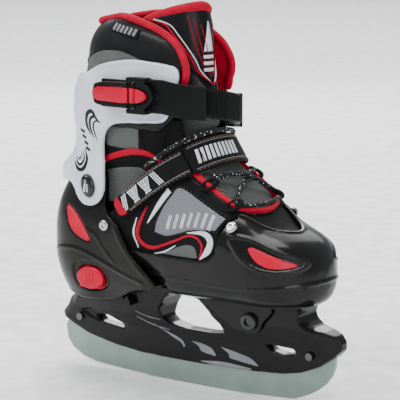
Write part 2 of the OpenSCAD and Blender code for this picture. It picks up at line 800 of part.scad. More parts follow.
module buckle_base() {
  color([0.06, 0.06, 0.06]) {
    band([
      [28, -24.5, 227.5], [22, -33, 228.5], [12, -40.5, 230], [0, -44.2, buckle_z],
      [-12, -45, buckle_z]
    ], 3.2, 26, [0, 0, -1]);
    // ears that hold the hinge pin
    difference() {
      union() {
        for (z = [buckle_z - 14, buckle_z + 10])
          translate([lever_x - 5, lever_y - 3, z]) cube([18, 8.5, 4]);
        // pointed nose in front of the hinge pin
        side_cut([[-20.4, buckle_z - 8], [-12, buckle_z - 7], [-3, buckle_z], [-12, buckle_z + 7],
          [-20.4, buckle_z + 8]], -48.4, -44);
        translate([-58, -44.3, buckle_z - 11]) cube([52, 2, 22]);
      }
      translate([lever_x, lever_y, buckle_z - 20]) cylinder(r = 1.52, h = 40, $fn = 32);
    }
  }
}

module buckle_rivets() {
  color([0.5, 0.5, 0.5])
    for (x = [-50, -34]) ycyl(x, buckle_z, 2.5, -42, -37.2, 24);
}

module buckle_pin() {
  color([0.6, 0.6, 0.6])
    translate([lever_x, lever_y, buckle_z - 14.5]) cylinder(r = 1.5, h = 29, $fn = 32);
}

// raised pointed cover in front of the hinge pin
module buckle_inlay() {
  color([0.75, 0.05, 0.1])
    side_cut([[-18.5, buckle_z - 6], [-13, buckle_z - 4.5], [-9, buckle_z], [-13, buckle_z + 4.5],
      [-18.5, buckle_z + 6]], -49.6, -48.4);
}

module buckle_lever() {
  color([0.05, 0.05, 0.05])
    difference() {
      union() {
        translate([lever_x, lever_y, buckle_z - 9.6]) cylinder(r = 3, h = 19.2, $fn = 32);
        // plate with a raised frame round the inlay
        translate([-61, lever_y - 2.1, buckle_z - 9.6]) cube([61 + lever_x, 3.2, 19.2]);
        for (z = [buckle_z - 9.6, buckle_z + 6.6])
          translate([-61, lever_y - 4.5, z]) cube([34, 3.4, 3]);
      }
      translate([lever_x, lever_y, buckle_z - 20]) cylinder(r = 1.56, h = 40, $fn = 32);
    }
}

module lever_inlay() {
  color([0.75, 0.05, 0.1])
    translate([-60.5, lever_y - 3.2, buckle_z - 6.4]) cube([32, 1.05, 12.8]);
}

blade();
blade_holder();
blade_screws();
toe_lugs();
cross_bolt();
cross_bolt_nut();
sole_screws();
front_shell();
toe_vent_lenses();
front_rivets();
boot_upper();
footbed();
tongue_lower();
lace();
lace_loops();
instep_strap();
instep_strap_rivet();
size_rack();
rear_shell();
heel_vent_inserts();
heel_rivets();
heel_pad();
heel_cushion();
heel_guides();
ankle_pivots();
ankle_gusset();
tongue_flex();
size_button();
button_spring();
cuff();
pivot_caps();
collar();
tongue_upper();
buckle_base();
buckle_rivets();
buckle_pin();
buckle_inlay();
ladder_strap();
ladder_end();
ladder_rivet();
buckle_lever();
lever_inlay();
instep_flap();
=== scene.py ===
"""Looks of an adjustable child's ice skate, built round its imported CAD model.

Lengths in this file are millimetres in the CAD frame (+X to the toe, +Z up, -Y the outer side
of the foot), and make() turns them into metres.
"""

import math

import bmesh
import bpy
import numpy as np
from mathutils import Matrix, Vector
from mathutils.bvhtree import BVHTree


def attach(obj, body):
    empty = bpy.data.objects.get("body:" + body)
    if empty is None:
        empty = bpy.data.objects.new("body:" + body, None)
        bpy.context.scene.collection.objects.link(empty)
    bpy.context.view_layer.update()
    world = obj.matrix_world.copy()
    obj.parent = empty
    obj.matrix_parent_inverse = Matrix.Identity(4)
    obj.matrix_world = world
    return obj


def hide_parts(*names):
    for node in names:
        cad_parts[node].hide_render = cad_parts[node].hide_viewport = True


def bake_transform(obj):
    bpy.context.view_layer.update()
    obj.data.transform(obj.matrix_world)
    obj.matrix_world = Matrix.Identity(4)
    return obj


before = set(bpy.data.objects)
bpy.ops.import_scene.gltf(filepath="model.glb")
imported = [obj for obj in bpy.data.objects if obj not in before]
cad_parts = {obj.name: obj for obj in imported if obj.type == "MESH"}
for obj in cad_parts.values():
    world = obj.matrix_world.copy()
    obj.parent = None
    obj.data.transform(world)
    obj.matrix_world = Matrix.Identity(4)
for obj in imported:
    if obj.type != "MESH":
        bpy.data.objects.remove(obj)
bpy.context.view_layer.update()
MM = 0.001
NEAR, FAR = -1, 1
SIDES = ((NEAR, "outer"), (FAR, "inner"))

# ---- numbers shared with the CAD model ------------------------------------------------

SOLE_Z = 81
SHELL_T = 2.6
HEEL_X = -130.5
TOE_X = 120.5
NOSE_X = 68  # from here the front shell closes towards the toe
COLLAR_ROUND = 48  # length of the round back of the collar, and the power of its section
COLLAR_POWER = 2.2
PIVOT = (-75.5, 157)
BUTTON = (-77.5, 82)
BOLT = (63.5, 62)
LEVER = (-24, -47.6)
BUCKLE_Z = 232.5
CREST = np.array([26, 0, 189.0])
STRAP_TILT = math.radians(56)
STRAP_SIDE = np.array([-math.cos(STRAP_TILT), 0, math.sin(STRAP_TILT)])
STRAP_RUN = np.array([math.sin(STRAP_TILT), 0, math.cos(STRAP_TILT)])

# soft pieces that cross a joint: the two bodies, and where the bend starts and ends
QUARTER_BEND = ("front", "heel", (0.020, 0, 0), (-0.045, 0, 0))
THROAT_BEND = ("front", "heel", (0.045, 0, 0), (0.016, 0, 0))
ANKLE_BEND = ("heel", "cuff", (0, 0, 0.160), (0, 0, 0.205))
TONGUE_BEND = ("heel", "cuff", (0, 0, 0.190), (0, 0, 0.240))

# front shell: x, half width, bottom, top, superellipse power
FRONT = [
    (-60, 35.5, 5, 69, 3.4), (-25, 38.8, 5, 71, 3.4), (-6, 40.6, 4.8, 72, 3.4),
    (-1, 41.2, 0.4, 73, 3.4), (25, 43.5, 0, 74, 3.2), (50, 45.6, 0, 74, 3), (60, 46, 0, 71, 2.95),
    (68, 46, 0, 66, 2.9), (75, 45.8, 0, 60.5, 2.85), (82, 45, 0, 56, 2.8), (94, 41.8, 0.5, 52, 2.7),
    (104, 36, 1.5, 48, 2.6), (111, 29, 3, 43, 2.5), (116, 21, 6, 36.5, 2.4),
    (119, 13, 10, 29.5, 2.3), (120.5, 4, 15, 22, 2.2),
]
# rear shell: z, setback of the heel, half width, half width at the front
REAR = [
    (57, 13.5, 26, 30), (62, 11, 28.5, 34), (72, 6.5, 32.5, 39), (85, 2, 36, 43), (98, 0, 37.8, 44.3),
    (115, 0, 38, 44.3), (125, 0.5, 37.6, 43.6), (137, 3, 36.6, 42), (147, 7, 35.2, 40.5),
    (156, 11.5, 34, 39.5), (168, 15, 33, 38.5),
]
# cuff: z, back, half width, half width at the front
CUFF = [
    (138, -123, 41, 41.5), (149, -123.2, 40, 40.5), (157, -123.4, 39.4, 40), (166, -123.5, 39.2, 39.5),
    (172, -119.5, 38.9, 39), (178, -113.5, 38.6, 38.5), (188, -109.5, 38.6, 37.5), (198, -109, 38.9, 37),
    (212, -111, 39.4, 36.5), (227, -110, 40.2, 36.5), (238, -106, 41, 37), (246, -102, 41, 37.3),
    (260, -98, 41, 37.5),
]
# padded collar and, below z 200, the ankle liner: z, back, half width, front x, front half width
COLLAR = [
    (200, -105, 35, 9, 32), (220, -106, 35.6, 10, 32.5), (238, -102, 36.6, 13, 33),
    (250, -97.6, 37.8, 15, 33.5), (262, -96.5, 37.6, 14, 33), (272, -94, 36, 11, 32),
    (282, -87, 33.5, 6, 30), (294, -72, 29, 0, 27),
]
LINER = [
    (141, -112, 28, 10, 26), (165, -109, 28.3, 12, 26), (182, -105.5, 33, 13, 28), (214, -104.5, 34, 13, 30),
]
# woven upper: x, half width, top
INSTEP = [
    (-74, 33, 150), (-60, 34.5, 165), (-25, 37.5, 185), (0, 39.5, 200), (15, 40.5, 196),
    (25, 41.5, 185.5), (40, 43, 169.4), (52, 44, 160.4), (62, 44.6, 152), (70, 44.6, 145.5),
    (78, 43.9, 138.5), (86, 42, 134),
]
INSTEP_Z0 = SOLE_Z + 8.2
# front face of the tongue: z, x
TONGUE = [
    (184, 13), (199, 13.5), (205, 17), (214, 20), (224, 20.5), (234, 18), (246, 15.8), (262, 15),
    (275, 14.2), (290, 12.5), (302, 9.5),
]

# ---- curves and meshes ------------------------------------------------------------------


def smooth(t):
    """Goes from 0 to 1 as t does, level at both ends."""
    return t * t * (3 - 2 * t)


def full_turn(count):
    """The angles of count points, evenly spaced round a circle."""
    return np.linspace(0, 2 * math.pi, count, endpoint=False)


def table_at(table, x):
    """The rows of a table at the positions x, on a smooth curve that doesn't overshoot."""
    table = np.array(table, float)
    x = np.atleast_1d(np.asarray(x, float))
    xs, ys = table[:, 0], table[:, 1:]
    step = np.diff(xs)[:, None]
    slope = np.diff(ys, axis=0) / step
    same = slope[1:] * slope[:-1] > 0
    total = np.where(same, slope[1:] + slope[:-1], 1)
    tangent = np.vstack([slope[:1], np.where(same, 2 * slope[1:] * slope[:-1] / total, 0), slope[-1:]])
    i = np.clip(np.searchsorted(xs, x) - 1, 0, len(step) - 1)
    h = step[i]
    t = np.clip((x - xs[i])[:, None] / h, 0, 1)
    rise = smooth(t)
    bend = t * (1 - t) * ((1 - t) * tangent[i] - t * tangent[i + 1]) * h
    return ys[i] * (1 - rise) + ys[i + 1] * rise + bend


def route(points, count, closed=False):
    """count points, evenly spaced, on the smooth curve through points."""
    p = np.array(points, float)
    p = np.vstack([p[-1:], p, p[:2]]) if closed else np.vstack([2 * p[:1] - p[1:2], p, 2 * p[-1:] - p[-2:-1]])
    t = np.linspace(0, 1, 17)[:-1, None]
    dense = []
    for a, b, c, d in zip(p[:-3], p[1:-2], p[2:-1], p[3:]):
        dense.append((2 * b + t * (c - a) + t**2 * (2 * a - 5 * b + 4 * c - d)
                      + t**3 * (3 * b - a - 3 * c + d)) / 2)
    dense = np.vstack([*dense, p[-2:-1]])
    far = np.concatenate([[0], np.cumsum(np.linalg.norm(np.diff(dense, axis=0), axis=1))])
    at = np.linspace(0, far[-1], count + 1)[:-1] if closed else np.linspace(0, far[-1], count)
    return np.stack([np.interp(at, far, dense[:, k]) for k in range(dense.shape[1])], 1)


def unit(v):
    return v / np.maximum(np.linalg.norm(v, axis=-1, keepdims=True), 1e-9)


def power(v, p):
    return np.sign(v) * np.abs(v) ** p


def new_object(name, data):
    obj = bpy.data.objects.new(name, data)
    bpy.context.scene.collection.objects.link(obj)
    return obj


def make(name, points, faces):
    """A mesh object from points in millimetres, its faces turned outwards."""
    mesh = bpy.data.meshes.new(name)
    mesh.from_pydata((np.asarray(points, float) * MM).tolist(), [], [list(f) for f in faces])
    b = bmesh.new()
    b.from_mesh(mesh)
    bmesh.ops.recalc_face_normals(b, faces=b.faces)
    b.to_mesh(mesh)
    b.free()
    return new_object(name, mesh)


def grid_faces(rows, cols, wrap=False, start=0):
    return [
        (start + r * cols + c, start + r * cols + (c + 1) % cols,
         start + (r + 1) * cols + (c + 1) % cols, start + (r + 1) * cols + c)
        for r in range(rows - 1) for c in range(cols if wrap else cols - 1)
    ]


def slab_faces(rows, cols, start=0):
    """The faces of two grids, numbered one after the other, and of the wall that joins their edges."""
    n = rows * cols
    edge = list(range(cols)) + [r * cols + cols - 1 for r in range(1, rows)]
    edge += [(rows - 1) * cols + c for c in range(cols - 2, -1, -1)]
    edge += [r * cols for r in range(rows - 2, 0, -1)]
    wall = [(start + a, start + b, start + n + b, start + n + a) for a, b in zip(edge, edge[1:] + edge[:1])]
    return grid_faces(rows, cols, start=start) + grid_faces(rows, cols, start=start + n) + wall


def loft(name, rings):
    """A closed solid through rings of the same number of points."""
    rings = np.asarray(rings)
    m, n = rings.shape[:2]
    faces = grid_faces(m, n, wrap=True) + [range(n), range((m - 1) * n, m * n)]
    return make(name, rings.reshape(-1, 3), faces)


def prism(outline, y0=-80, y1=80):
    """A closed outline in X and Z, as a solid from y0 to y1."""
    return loft("tool", [[(x, y, z) for x, z in outline] for y in (y0, y1)])


def tube(name, path, radius, sides=10, closed=False, flat=1.0):
    """A round tube along path; flat scales its thickness away from Y."""
    path = np.asarray(path, float)
    ahead = np.roll(path, -1, 0) - np.roll(path, 1, 0) if closed else np.gradient(path, axis=0)
    ahead = unit(ahead)
    radius = np.broadcast_to(radius, len(path))
    normal = np.cross(ahead[0], (0, 1, 0) if abs(ahead[0][1]) < 0.9 else (0, 0, 1))
    rings = []
    for p, t, r in zip(path, ahead, radius):
        if closed:
            normal = np.cross(t, (0, 1, 0))
        normal = unit(normal - (normal @ t) * t)
        other = np.cross(t, normal)
        a = full_turn(sides)[:, None]
        rings.append(p + r * (flat * np.cos(a) * normal + np.sin(a) * other))
    if closed:
        rings = np.array(rings)
        m = len(rings)
        faces = grid_faces(m, sides, wrap=True)
        faces += [((m - 1) * sides + c, (m - 1) * sides + (c + 1) % sides, (c + 1) % sides, c)
                  for c in range(sides)]
        return make(name, rings.reshape(-1, 3), faces)
    return loft(name, rings)


def lathe(name, profile, centre, axis, segments=32):
    """A turned solid: profile is (radius, height) pairs along axis from centre."""
    axis = unit(np.array(axis, float))
    u = unit(np.cross(axis, (1, 0, 0) if abs(axis[0]) < 0.8 else (0, 1, 0)))
    v = np.cross(axis, u)
    a = full_turn(segments)[:, None]
    return loft(name, [np.array(centre) + h * axis + r * (np.cos(a) * u + np.sin(a) * v)
                       for r, h in profile])


def settle(obj):
    """Applies obj's modifiers to its mesh."""
    graph = bpy.context.evaluated_depsgraph_get()
    mesh = bpy.data.meshes.new_from_object(obj.evaluated_get(graph))
    obj.modifiers.clear()
    obj.data = mesh
    return obj


def carve(obj, *tools, mode="DIFFERENCE"):
    for tool in tools:
        step = obj.modifiers.new("carve", "BOOLEAN")
        step.operation = mode
        step.solver = "MANIFOLD"
        step.object = tool
    settle(obj)
    for tool in tools:
        bpy.data.objects.remove(tool)
    return obj


def join(name, *parts):
    """Several objects as one mesh."""
    b = bmesh.new()
    for part in parts:
        b.from_mesh(part.data)
        bpy.data.objects.remove(part)
    mesh = bpy.data.meshes.new(name)
    b.to_mesh(mesh)
    b.free()
    return new_object(name, mesh)


def remesh(obj, voxel):
    step = obj.modifiers.new("skin", "REMESH")
    step.mode = "VOXEL"
    step.voxel_size = voxel * MM


def mould(obj, voxel, rounds=3):
    """One even skin with softened edges, as a moulded or sewn piece has."""
    remesh(obj, voxel)
    soft = obj.modifiers.new("soft", "SMOOTH")
    soft.factor = 0.5
    soft.iterations = rounds
    return settle(obj)


def bevel(obj, width, segments=3):
    step = obj.modifiers.new("bevel", "BEVEL")
    step.width = width * MM
    step.segments = segments
    step.limit_method = "ANGLE"
    step.angle_limit = math.radians(35)
    return settle(obj)


def copy_node(name, node):
    """A new object with the CAD node's mesh, its faces joined at their corners, to be refined."""
    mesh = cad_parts[node].data.copy()
    b = bmesh.new()
    b.from_mesh(mesh)
    bmesh.ops.remove_doubles(b, verts=b.verts, dist=1e-6)
    b.to_mesh(mesh)
    b.free()
    return new_object(name, mesh)


# ---- thin pieces laid on a surface --------------------------------------------------------


def side_surface(target, side):
    """Maps (x, z) to the points and normals of target, seen from that side along Y."""
    tree = BVHTree.FromObject(target, bpy.context.evaluated_depsgraph_get())

    def at(flat):
        points, normals = [], []
        for x, z in flat:
            start = Vector((x * MM, side * 0.1, z * MM))
            hit, normal, _, _ = tree.ray_cast(start, Vector((0, -side, 0)))
            if hit is None:
                hit, normal, _, _ = tree.find_nearest(Vector((x * MM, side * 0.045, z * MM)))
            if normal.y * side < 0:
                normal = -normal
            points.append(hit)
            normals.append(normal)
        return np.array(points) / MM, np.array(normals)

    return at


def cast_surface(target, direction):
    """Maps points (x, y, z) to target, along a direction."""
    tree = BVHTree.FromObject(target, bpy.context.evaluated_depsgraph_get())
    way = Vector(direction).normalized()

    def at(points):
        found, normals = [], []
        for p in points:
            start = Vector(p) * MM - way * 0.06
            hit, normal, _, _ = tree.ray_cast(start, way)
            if hit is None:
                hit, normal, _, _ = tree.find_nearest(Vector(p) * MM)
            if normal.dot(way) > 0:
                normal = -normal
            found.append(hit)
            normals.append(normal)
        return np.array(found) / MM, np.array(normals)

    return at


def area(first, second, along=40, across=8):
    """A grid between two curves."""
    a, b = route(first, along), route(second, along)
    return np.array([a * (1 - v) + b * v for v in np.linspace(0, 1, across)])


def patch(outline, along=24, across=10):
    """A grid that fills a smooth closed outline, which starts at one of its tips."""
    ring = route(outline, 2 * along, closed=True)
    first, second = ring[1:along], ring[:along:-1]
    return np.array([first * (1 - v) + second * v for v in np.linspace(0, 1, across)])


def stripe(path, widths, along=40, across=3):
    """A grid along a flat path, as wide as widths says at the path's points."""
    p = route(path, along)
    w = np.interp(np.linspace(0, 1, along), np.linspace(0, 1, len(widths)), widths)[:, None] / 2
    ahead = unit(np.gradient(p, axis=0))
    out = np.stack([-ahead[:, 1], ahead[:, 0]], 1)
    return np.array([p + out * w * v for v in np.linspace(-1, 1, across)])


def dashes(path, length=2.2, gap=1.3, width=0.7):
    """A row of stitches along a flat path."""
    far = np.linalg.norm(np.diff(route(path, 60), axis=0), axis=1).sum()
    count = max(2, int(far / (length + gap)))
    p = route(path, count * 6)
    rows = []
    for k in range(count):
        part = p[k * 6:k * 6 + 4]
        out = unit(part[-1] - part[0])[::-1] * (-1, 1) * width / 2
        rows.append(np.array([part - out, part + out]))
    return rows


def skin(name, grids, surface, lift=0.35, sink=0.4):
    """Thin closed solids on a surface, one for each grid of surface coordinates."""
    points, faces = [], []
    for grid in grids:
        rows, cols = grid.shape[:2]
        on, normal = surface(grid.reshape(rows * cols, -1))
        start = len(points)
        points.extend(on + normal * lift)
        points.extend(on - normal * sink)
        faces += slab_faces(rows, cols, start)
    return make(name, points, faces)


class Webbing:
    """A flat strap along a path, which is its outer face; side is its width's direction."""

    def __init__(self, path, side, width, thick, count=80, corner=5.0):
        self.path = route(path, count)
        ahead = unit(np.gradient(self.path, axis=0))
        self.side = unit(np.broadcast_to(np.array(side, float), self.path.shape))
        self.inward = unit(np.cross(self.side, ahead))
        self.width = np.interp(np.linspace(0, 1, count), np.linspace(0, 1, len(width)), width)
        self.thick, self.corner = thick, corner

    def solid(self, name, relief=None):
        a = full_turn(28)[:, None]
        across = power(np.cos(a), 2 / self.corner)
        depth = power(np.sin(a), 2 / self.corner)
        rings = []
        for k, (p, s, i, w) in enumerate(zip(self.path, self.side, self.inward, self.width)):
            rise = relief[k] * (depth > 0) * (np.abs(across) < 0.86) if relief is not None else 0
            centre = p + i * self.thick / 2
            rings.append(centre + s * across * w / 2 - i * (depth * self.thick / 2 + rise))
        return loft(name, rings)

    def surface(self, flat):
        """Maps (u, v), with u from 0 to 1 along and v in millimetres across, to the outer face."""
        at = flat[:, 0] * (len(self.path) - 1)
        k = np.arange(len(self.path))

        def mix(rows):
            return np.stack([np.interp(at, k, rows[:, c]) for c in range(3)], 1)

        return mix(self.path) + mix(self.side) * flat[:, 1:2], -unit(mix(self.inward))

    def length(self):
        return np.linalg.norm(np.diff(self.path, axis=0), axis=1).sum()

    def stitches(self, v, u0=0.02, u1=0.98, length=2.2, gap=1.4, width=0.6):
        count = int(self.length() * (u1 - u0) / (length + gap))
        step = (u1 - u0) / count
        share = step * length / (length + gap)
        return [np.array([[(u0 + k * step + share * s, v + width * e) for s in (0, 0.5, 1)]
                          for e in (-0.5, 0.5)]) for k in range(count)]


# ---- materials ------------------------------------------------------------------------------


class Paint:
    """A procedural material, made step by step."""

    def __init__(self, name, colour, rough, metal=0.0, coat=0.0, sheen=0.0, level=0.5):
        self.material = bpy.data.materials.new(name)
        self.material.use_nodes = True
        self.nodes = self.material.node_tree.nodes
        self.shader = self.nodes["Principled BSDF"]
        self.shader.inputs["Metallic"].default_value = metal
        self.shader.inputs["Coat Weight"].default_value = coat
        self.shader.inputs["Coat Roughness"].default_value = 0.12
        self.shader.inputs["Sheen Weight"].default_value = sheen
        self.shader.inputs["Sheen Roughness"].default_value = 0.4
        self.shader.inputs["Specular IOR Level"].default_value = level
        self.colour, self.rough = colour, rough
        self.place = self.nodes.new("ShaderNodeTexCoord").outputs["Object"]
        self.height = None

    def link(self, a, b):
        self.material.node_tree.links.new(a, b)

    def noise(self, scale, detail=3.0, stretch=None):
        node = self.nodes.new("ShaderNodeTexNoise")
        node.inputs["Scale"].default_value = scale
        node.inputs["Detail"].default_value = detail
        source = self.place
        if stretch:
            spread = self.nodes.new("ShaderNodeMapping")
            spread.inputs["Scale"].default_value = stretch
            self.link(source, spread.inputs["Vector"])
            source = spread.outputs["Vector"]
        self.link(source, node.inputs["Vector"])
        return node.outputs["Fac"]

    def math(self, kind, a, b=0.5, clamp=False):
        node = self.nodes.new("ShaderNodeMath")
        node.operation = kind
        node.use_clamp = clamp
        for value, socket in ((a, node.inputs[0]), (b, node.inputs[1])):
            if isinstance(value, (int, float)):
                socket.default_value = value
            else:
                self.link(value, socket)
        return node.outputs[0]

    def ramp(self, fac, stops):
        node = self.nodes.new("ShaderNodeValToRGB")
        while len(node.color_ramp.elements) < len(stops):
            node.color_ramp.elements.new(0.5)
        for element, (position, colour) in zip(node.color_ramp.elements, stops):
            element.position = position
            element.color = (*colour, 1)
        self.link(fac, node.inputs["Fac"])
        return node.outputs["Color"]

    def waves(self, period, turn):
        """Bands of that period in millimetres, turned about Y in degrees."""
        spin = self.nodes.new("ShaderNodeMapping")
        spin.inputs["Rotation"].default_value = (0, math.radians(turn), math.radians(turn) * 0.6)
        self.link(self.place, spin.inputs["Vector"])
        node = self.nodes.new("ShaderNodeTexWave")
        node.inputs["Scale"].default_value = 2 * math.pi / (20 * period * MM)
        node.inputs["Distortion"].default_value = 0.6
        node.inputs["Detail Scale"].default_value = 2
        self.link(spin.outputs["Vector"], node.inputs["Vector"])
        return node.outputs["Fac"]

    def bump(self, height, distance, strength=1.0):
        node = self.nodes.new("ShaderNodeBump")
        node.inputs["Distance"].default_value = distance * MM
        node.inputs["Strength"].default_value = strength
        self.link(height, node.inputs["Height"])
        if self.height is not None:
            self.link(self.height, node.inputs["Normal"])
        self.height = node.outputs["Normal"]

    def finish(self, base=None, spread=0.12, scale=45, rough_spread=0.08):
        if base is None:
            dark = [c * (1 - spread) for c in self.colour]
            light = [min(1, c * (1 + spread)) for c in self.colour]
            base = self.ramp(self.noise(scale), [(0.3, dark), (0.7, light)])
        self.link(base, self.shader.inputs["Base Color"])
        low, high = self.rough - rough_spread, self.rough + rough_spread
        mapped = self.nodes.new("ShaderNodeMapRange")
        mapped.inputs["To Min"].default_value = max(0.03, low)
        mapped.inputs["To Max"].default_value = min(1, high)
        self.link(self.noise(70, 4), mapped.inputs["Value"])
        self.link(mapped.outputs["Result"], self.shader.inputs["Roughness"])
        if self.height is not None:
            self.link(self.height, self.shader.inputs["Normal"])
        return self.material


def plastic(name, colour, rough, coat=0.3, grain=0.02, wear=0.0):
    p = Paint(name, colour, rough, coat=coat, level=0.1)
    p.bump(p.noise(1400, 2), grain)
    p.bump(p.noise(90, 2), grain * 4)
    if not wear:
        return p.finish()
    edge = p.nodes.new("ShaderNodeNewGeometry").outputs["Pointiness"]
    worn = p.math("MULTIPLY", p.ramp(edge, [(0.51, (0, 0, 0)), (0.56, (1, 1, 1))]), p.noise(160, 4))
    tint = p.nodes.new("ShaderNodeMix")
    tint.data_type = "RGBA"
    p.link(p.math("MULTIPLY", worn, wear), tint.inputs["Factor"])
    p.link(p.ramp(p.noise(45), [(0.3, [c * 0.85 for c in colour]), (0.7, [c * 1.2 for c in colour])]),
           tint.inputs["A"])
    tint.inputs["B"].default_value = (*[min(1, c * 2.5 + 0.03) for c in colour], 1)
    return p.finish(tint.outputs["Result"])


def metal(name, colour, rough, stretch):
    p = Paint(name, colour, rough, metal=1.0)
    p.bump(p.noise(60, 3, stretch), 0.02)
    return p.finish(spread=0.07, rough_spread=0.07)


def woven(name, light, dark, period=1.8, rough=0.75, depth=0.25):
    """An open weave of two diagonal yarns over a darker ground."""
    p = Paint(name, light, rough, sheen=0.05, level=0.2)
    cross = p.math("MULTIPLY", p.waves(period, 42), p.waves(period * 0.9, -48))
    p.bump(cross, depth)
    p.bump(p.noise(2500, 2), 0.05)
    mottle = p.math("MULTIPLY", p.noise(60, 3), 0.25)
    fac = p.math("ADD", cross, p.math("SUBTRACT", mottle, 0.12), clamp=True)
    return p.finish(p.ramp(fac, [(0.08, dark), (0.5, light), (1.0, [min(1, c * 1.25) for c in light])]))


def cloth(name, colour, rough=0.7, sheen=0.3, grain=0.12, period=0.9, spread=0.2):
    """A fine knit or coated textile."""
    p = Paint(name, colour, rough, sheen=sheen, level=0.1)
    p.bump(p.math("ADD", p.waves(period, 15), p.waves(period, -75)), grain)
    p.bump(p.noise(300, 4), grain)
    return p.finish(spread=spread, scale=110)


def leather(name, colour, rough=0.45):
    p = Paint(name, colour, rough, coat=0.05, level=0.15)
    pores = p.nodes.new("ShaderNodeTexVoronoi")
    pores.inputs["Scale"].default_value = 900
    p.link(p.place, pores.inputs["Vector"])
    p.bump(pores.outputs["Distance"], 0.08)
    p.bump(p.noise(120, 3), 0.15)
    return p.finish(spread=0.25)


def flecked(name, colour, fleck):
    """Braided cord with light flecks."""
    p = Paint(name, colour, 0.7, sheen=0.05, level=0.2)
    p.bump(p.math("MULTIPLY", p.waves(1.1, 50), p.waves(1.1, -40)), 0.3)
    base = p.ramp(p.noise(600, 0), [(0.70, colour), (0.715, fleck)])
    return p.finish(base)


shell_black = plastic("shell_black", (0.006, 0.0062, 0.0052), 0.24, 0.22, wear=0.2)
heel_black = plastic("heel_black", (0.008, 0.0083, 0.0068), 0.3, 0.12, wear=0.2)
holder_black = plastic("holder_black", (0.005, 0.005, 0.0045), 0.24, 0.2, wear=0.2)
buckle_black = plastic("buckle_black", (0.004, 0.005, 0.0046), 0.4, 0.03, 0.03, wear=0.2)
gloss_black = plastic("gloss_black", (0.008, 0.008, 0.008), 0.12, 0.8, 0.01, wear=0.1)
cuff_white = plastic("cuff_white", (0.66, 0.68, 0.75), 0.25, 0.25, 0.02)
red_plastic = plastic("red_plastic", (0.50, 0.003, 0.028), 0.34, 0.1, 0.02)
# Grey print, which also paints the highlight lines along the holder's ribs.
grey_print_and_painted_highlight = plastic("grey_print_and_painted_highlight", (0.19, 0.20, 0.215), 0.4, 0.05)
black_print = plastic("black_print", (0.010, 0.010, 0.012), 0.35, 0.2)
white_print = plastic("white_print", (0.64, 0.65, 0.68), 0.5, 0.0, 0.03)
blade_steel = metal("blade_steel", (0.26, 0.335, 0.30), 0.45, (6, 6, 500))
bright_steel = metal("bright_steel", (0.5, 0.5, 0.51), 0.22, (40, 40, 40))
dark_steel = metal("dark_steel", (0.12, 0.12, 0.12), 0.4, (40, 40, 40))
side_mesh = woven("side_mesh", (0.25, 0.25, 0.275), (0.12, 0.12, 0.135), 1.5)
ankle_mesh = woven("ankle_mesh", (0.15, 0.16, 0.155), (0.05, 0.055, 0.05), 1.3)
tongue_mesh = woven("tongue_mesh", (0.11, 0.115, 0.11), (0.035, 0.035, 0.035), 1.2)
olive_mesh = woven("olive_mesh", (0.12, 0.14, 0.13), (0.07, 0.08, 0.075), 1.1)
black_cloth = cloth("black_cloth", (0.005, 0.005, 0.0054), 0.7, 0.02)
black_leather = leather("black_leather", (0.005, 0.005, 0.0054), 0.42)
webbing = cloth("webbing", (0.005, 0.005, 0.005), 0.65, 0.01, 0.2, 1.2)
red_cloth = cloth("red_cloth", (0.40, 0.002, 0.022), 0.8, 0.04, 0.1, 0.8, 0.12)
dark_red_cloth = cloth("dark_red_cloth", (0.25, 0.002, 0.012), 0.8, 0.08, 0.1, 0.8, 0.15)
foam = cloth("foam", (0.05, 0.05, 0.05), 0.9, 0.1, 0.2, 1.6)
pale_thread = cloth("pale_thread", (0.50, 0.51, 0.53), 0.8, 0.02, 0.05, 0.5)
tan_thread = cloth("tan_thread", (0.20, 0.10, 0.065), 0.8, 0.02, 0.05, 0.5)
dark_thread = cloth("dark_thread", (0.03, 0.03, 0.03), 0.8, 0.02, 0.05, 0.5)
lace_cord = flecked("lace_cord", (0.006, 0.006, 0.007), (0.5, 0.5, 0.5))


def place(obj, material, body, replaces=(), sharp=None):
    """The piece's finish, the body it is attached to and the CAD nodes it hides; a piece given a bend tuple is
    attached to no body, only its transform is applied.
    """
    if material is not None:
        obj.data.materials.clear()
        obj.data.materials.append(material)
    obj.data.shade_smooth()
    if sharp:
        obj.data.set_sharp_from_angle(angle=math.radians(sharp))
    if isinstance(body, str):
        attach(obj, body)
    else:
        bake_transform(obj)
    if replaces:
        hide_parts(*replaces)
    return obj


def puff(obj, voxel, cap, pressure=4.0):
    """Swells a padded piece with Cloth; no point moves further than cap."""
    remesh(obj, voxel)
    settle(obj)
    rest = np.array([v.co for v in obj.data.vertices])
    cloth_step = obj.modifiers.new("Cloth", "CLOTH")
    settings = cloth_step.settings
    settings.quality = 5
    settings.mass = 0.3
    settings.tension_stiffness = 8
    settings.compression_stiffness = 8
    settings.shear_stiffness = 4
    settings.bending_stiffness = 0.4
    settings.use_pressure = True
    settings.uniform_pressure_force = pressure
    settings.effector_weights.gravity = 0
    cloth_step.collision_settings.use_collision = False
    cloth_step.point_cache.frame_start = 1
    cloth_step.point_cache.frame_end = 20
    for f in range(1, 21):
        bpy.context.scene.frame_set(f)
    settle(obj)
    bpy.context.scene.frame_set(1)
    moved = np.array([v.co for v in obj.data.vertices])
    shift = moved - rest
    far = np.linalg.norm(shift, axis=1, keepdims=True)
    shift *= np.minimum(1, cap * MM / np.maximum(far, 1e-9))
    obj.data.vertices.foreach_set("co", (rest + shift).ravel())
    obj.data.update()
    soft = obj.modifiers.new("soft", "SMOOTH")
    soft.iterations = 3
    fine = obj.modifiers.new("fine", "SUBSURF")
    fine.levels = fine.render_levels = 1
    return settle(obj)


# ---- stage, lights and camera ----------------------------------------------------------------


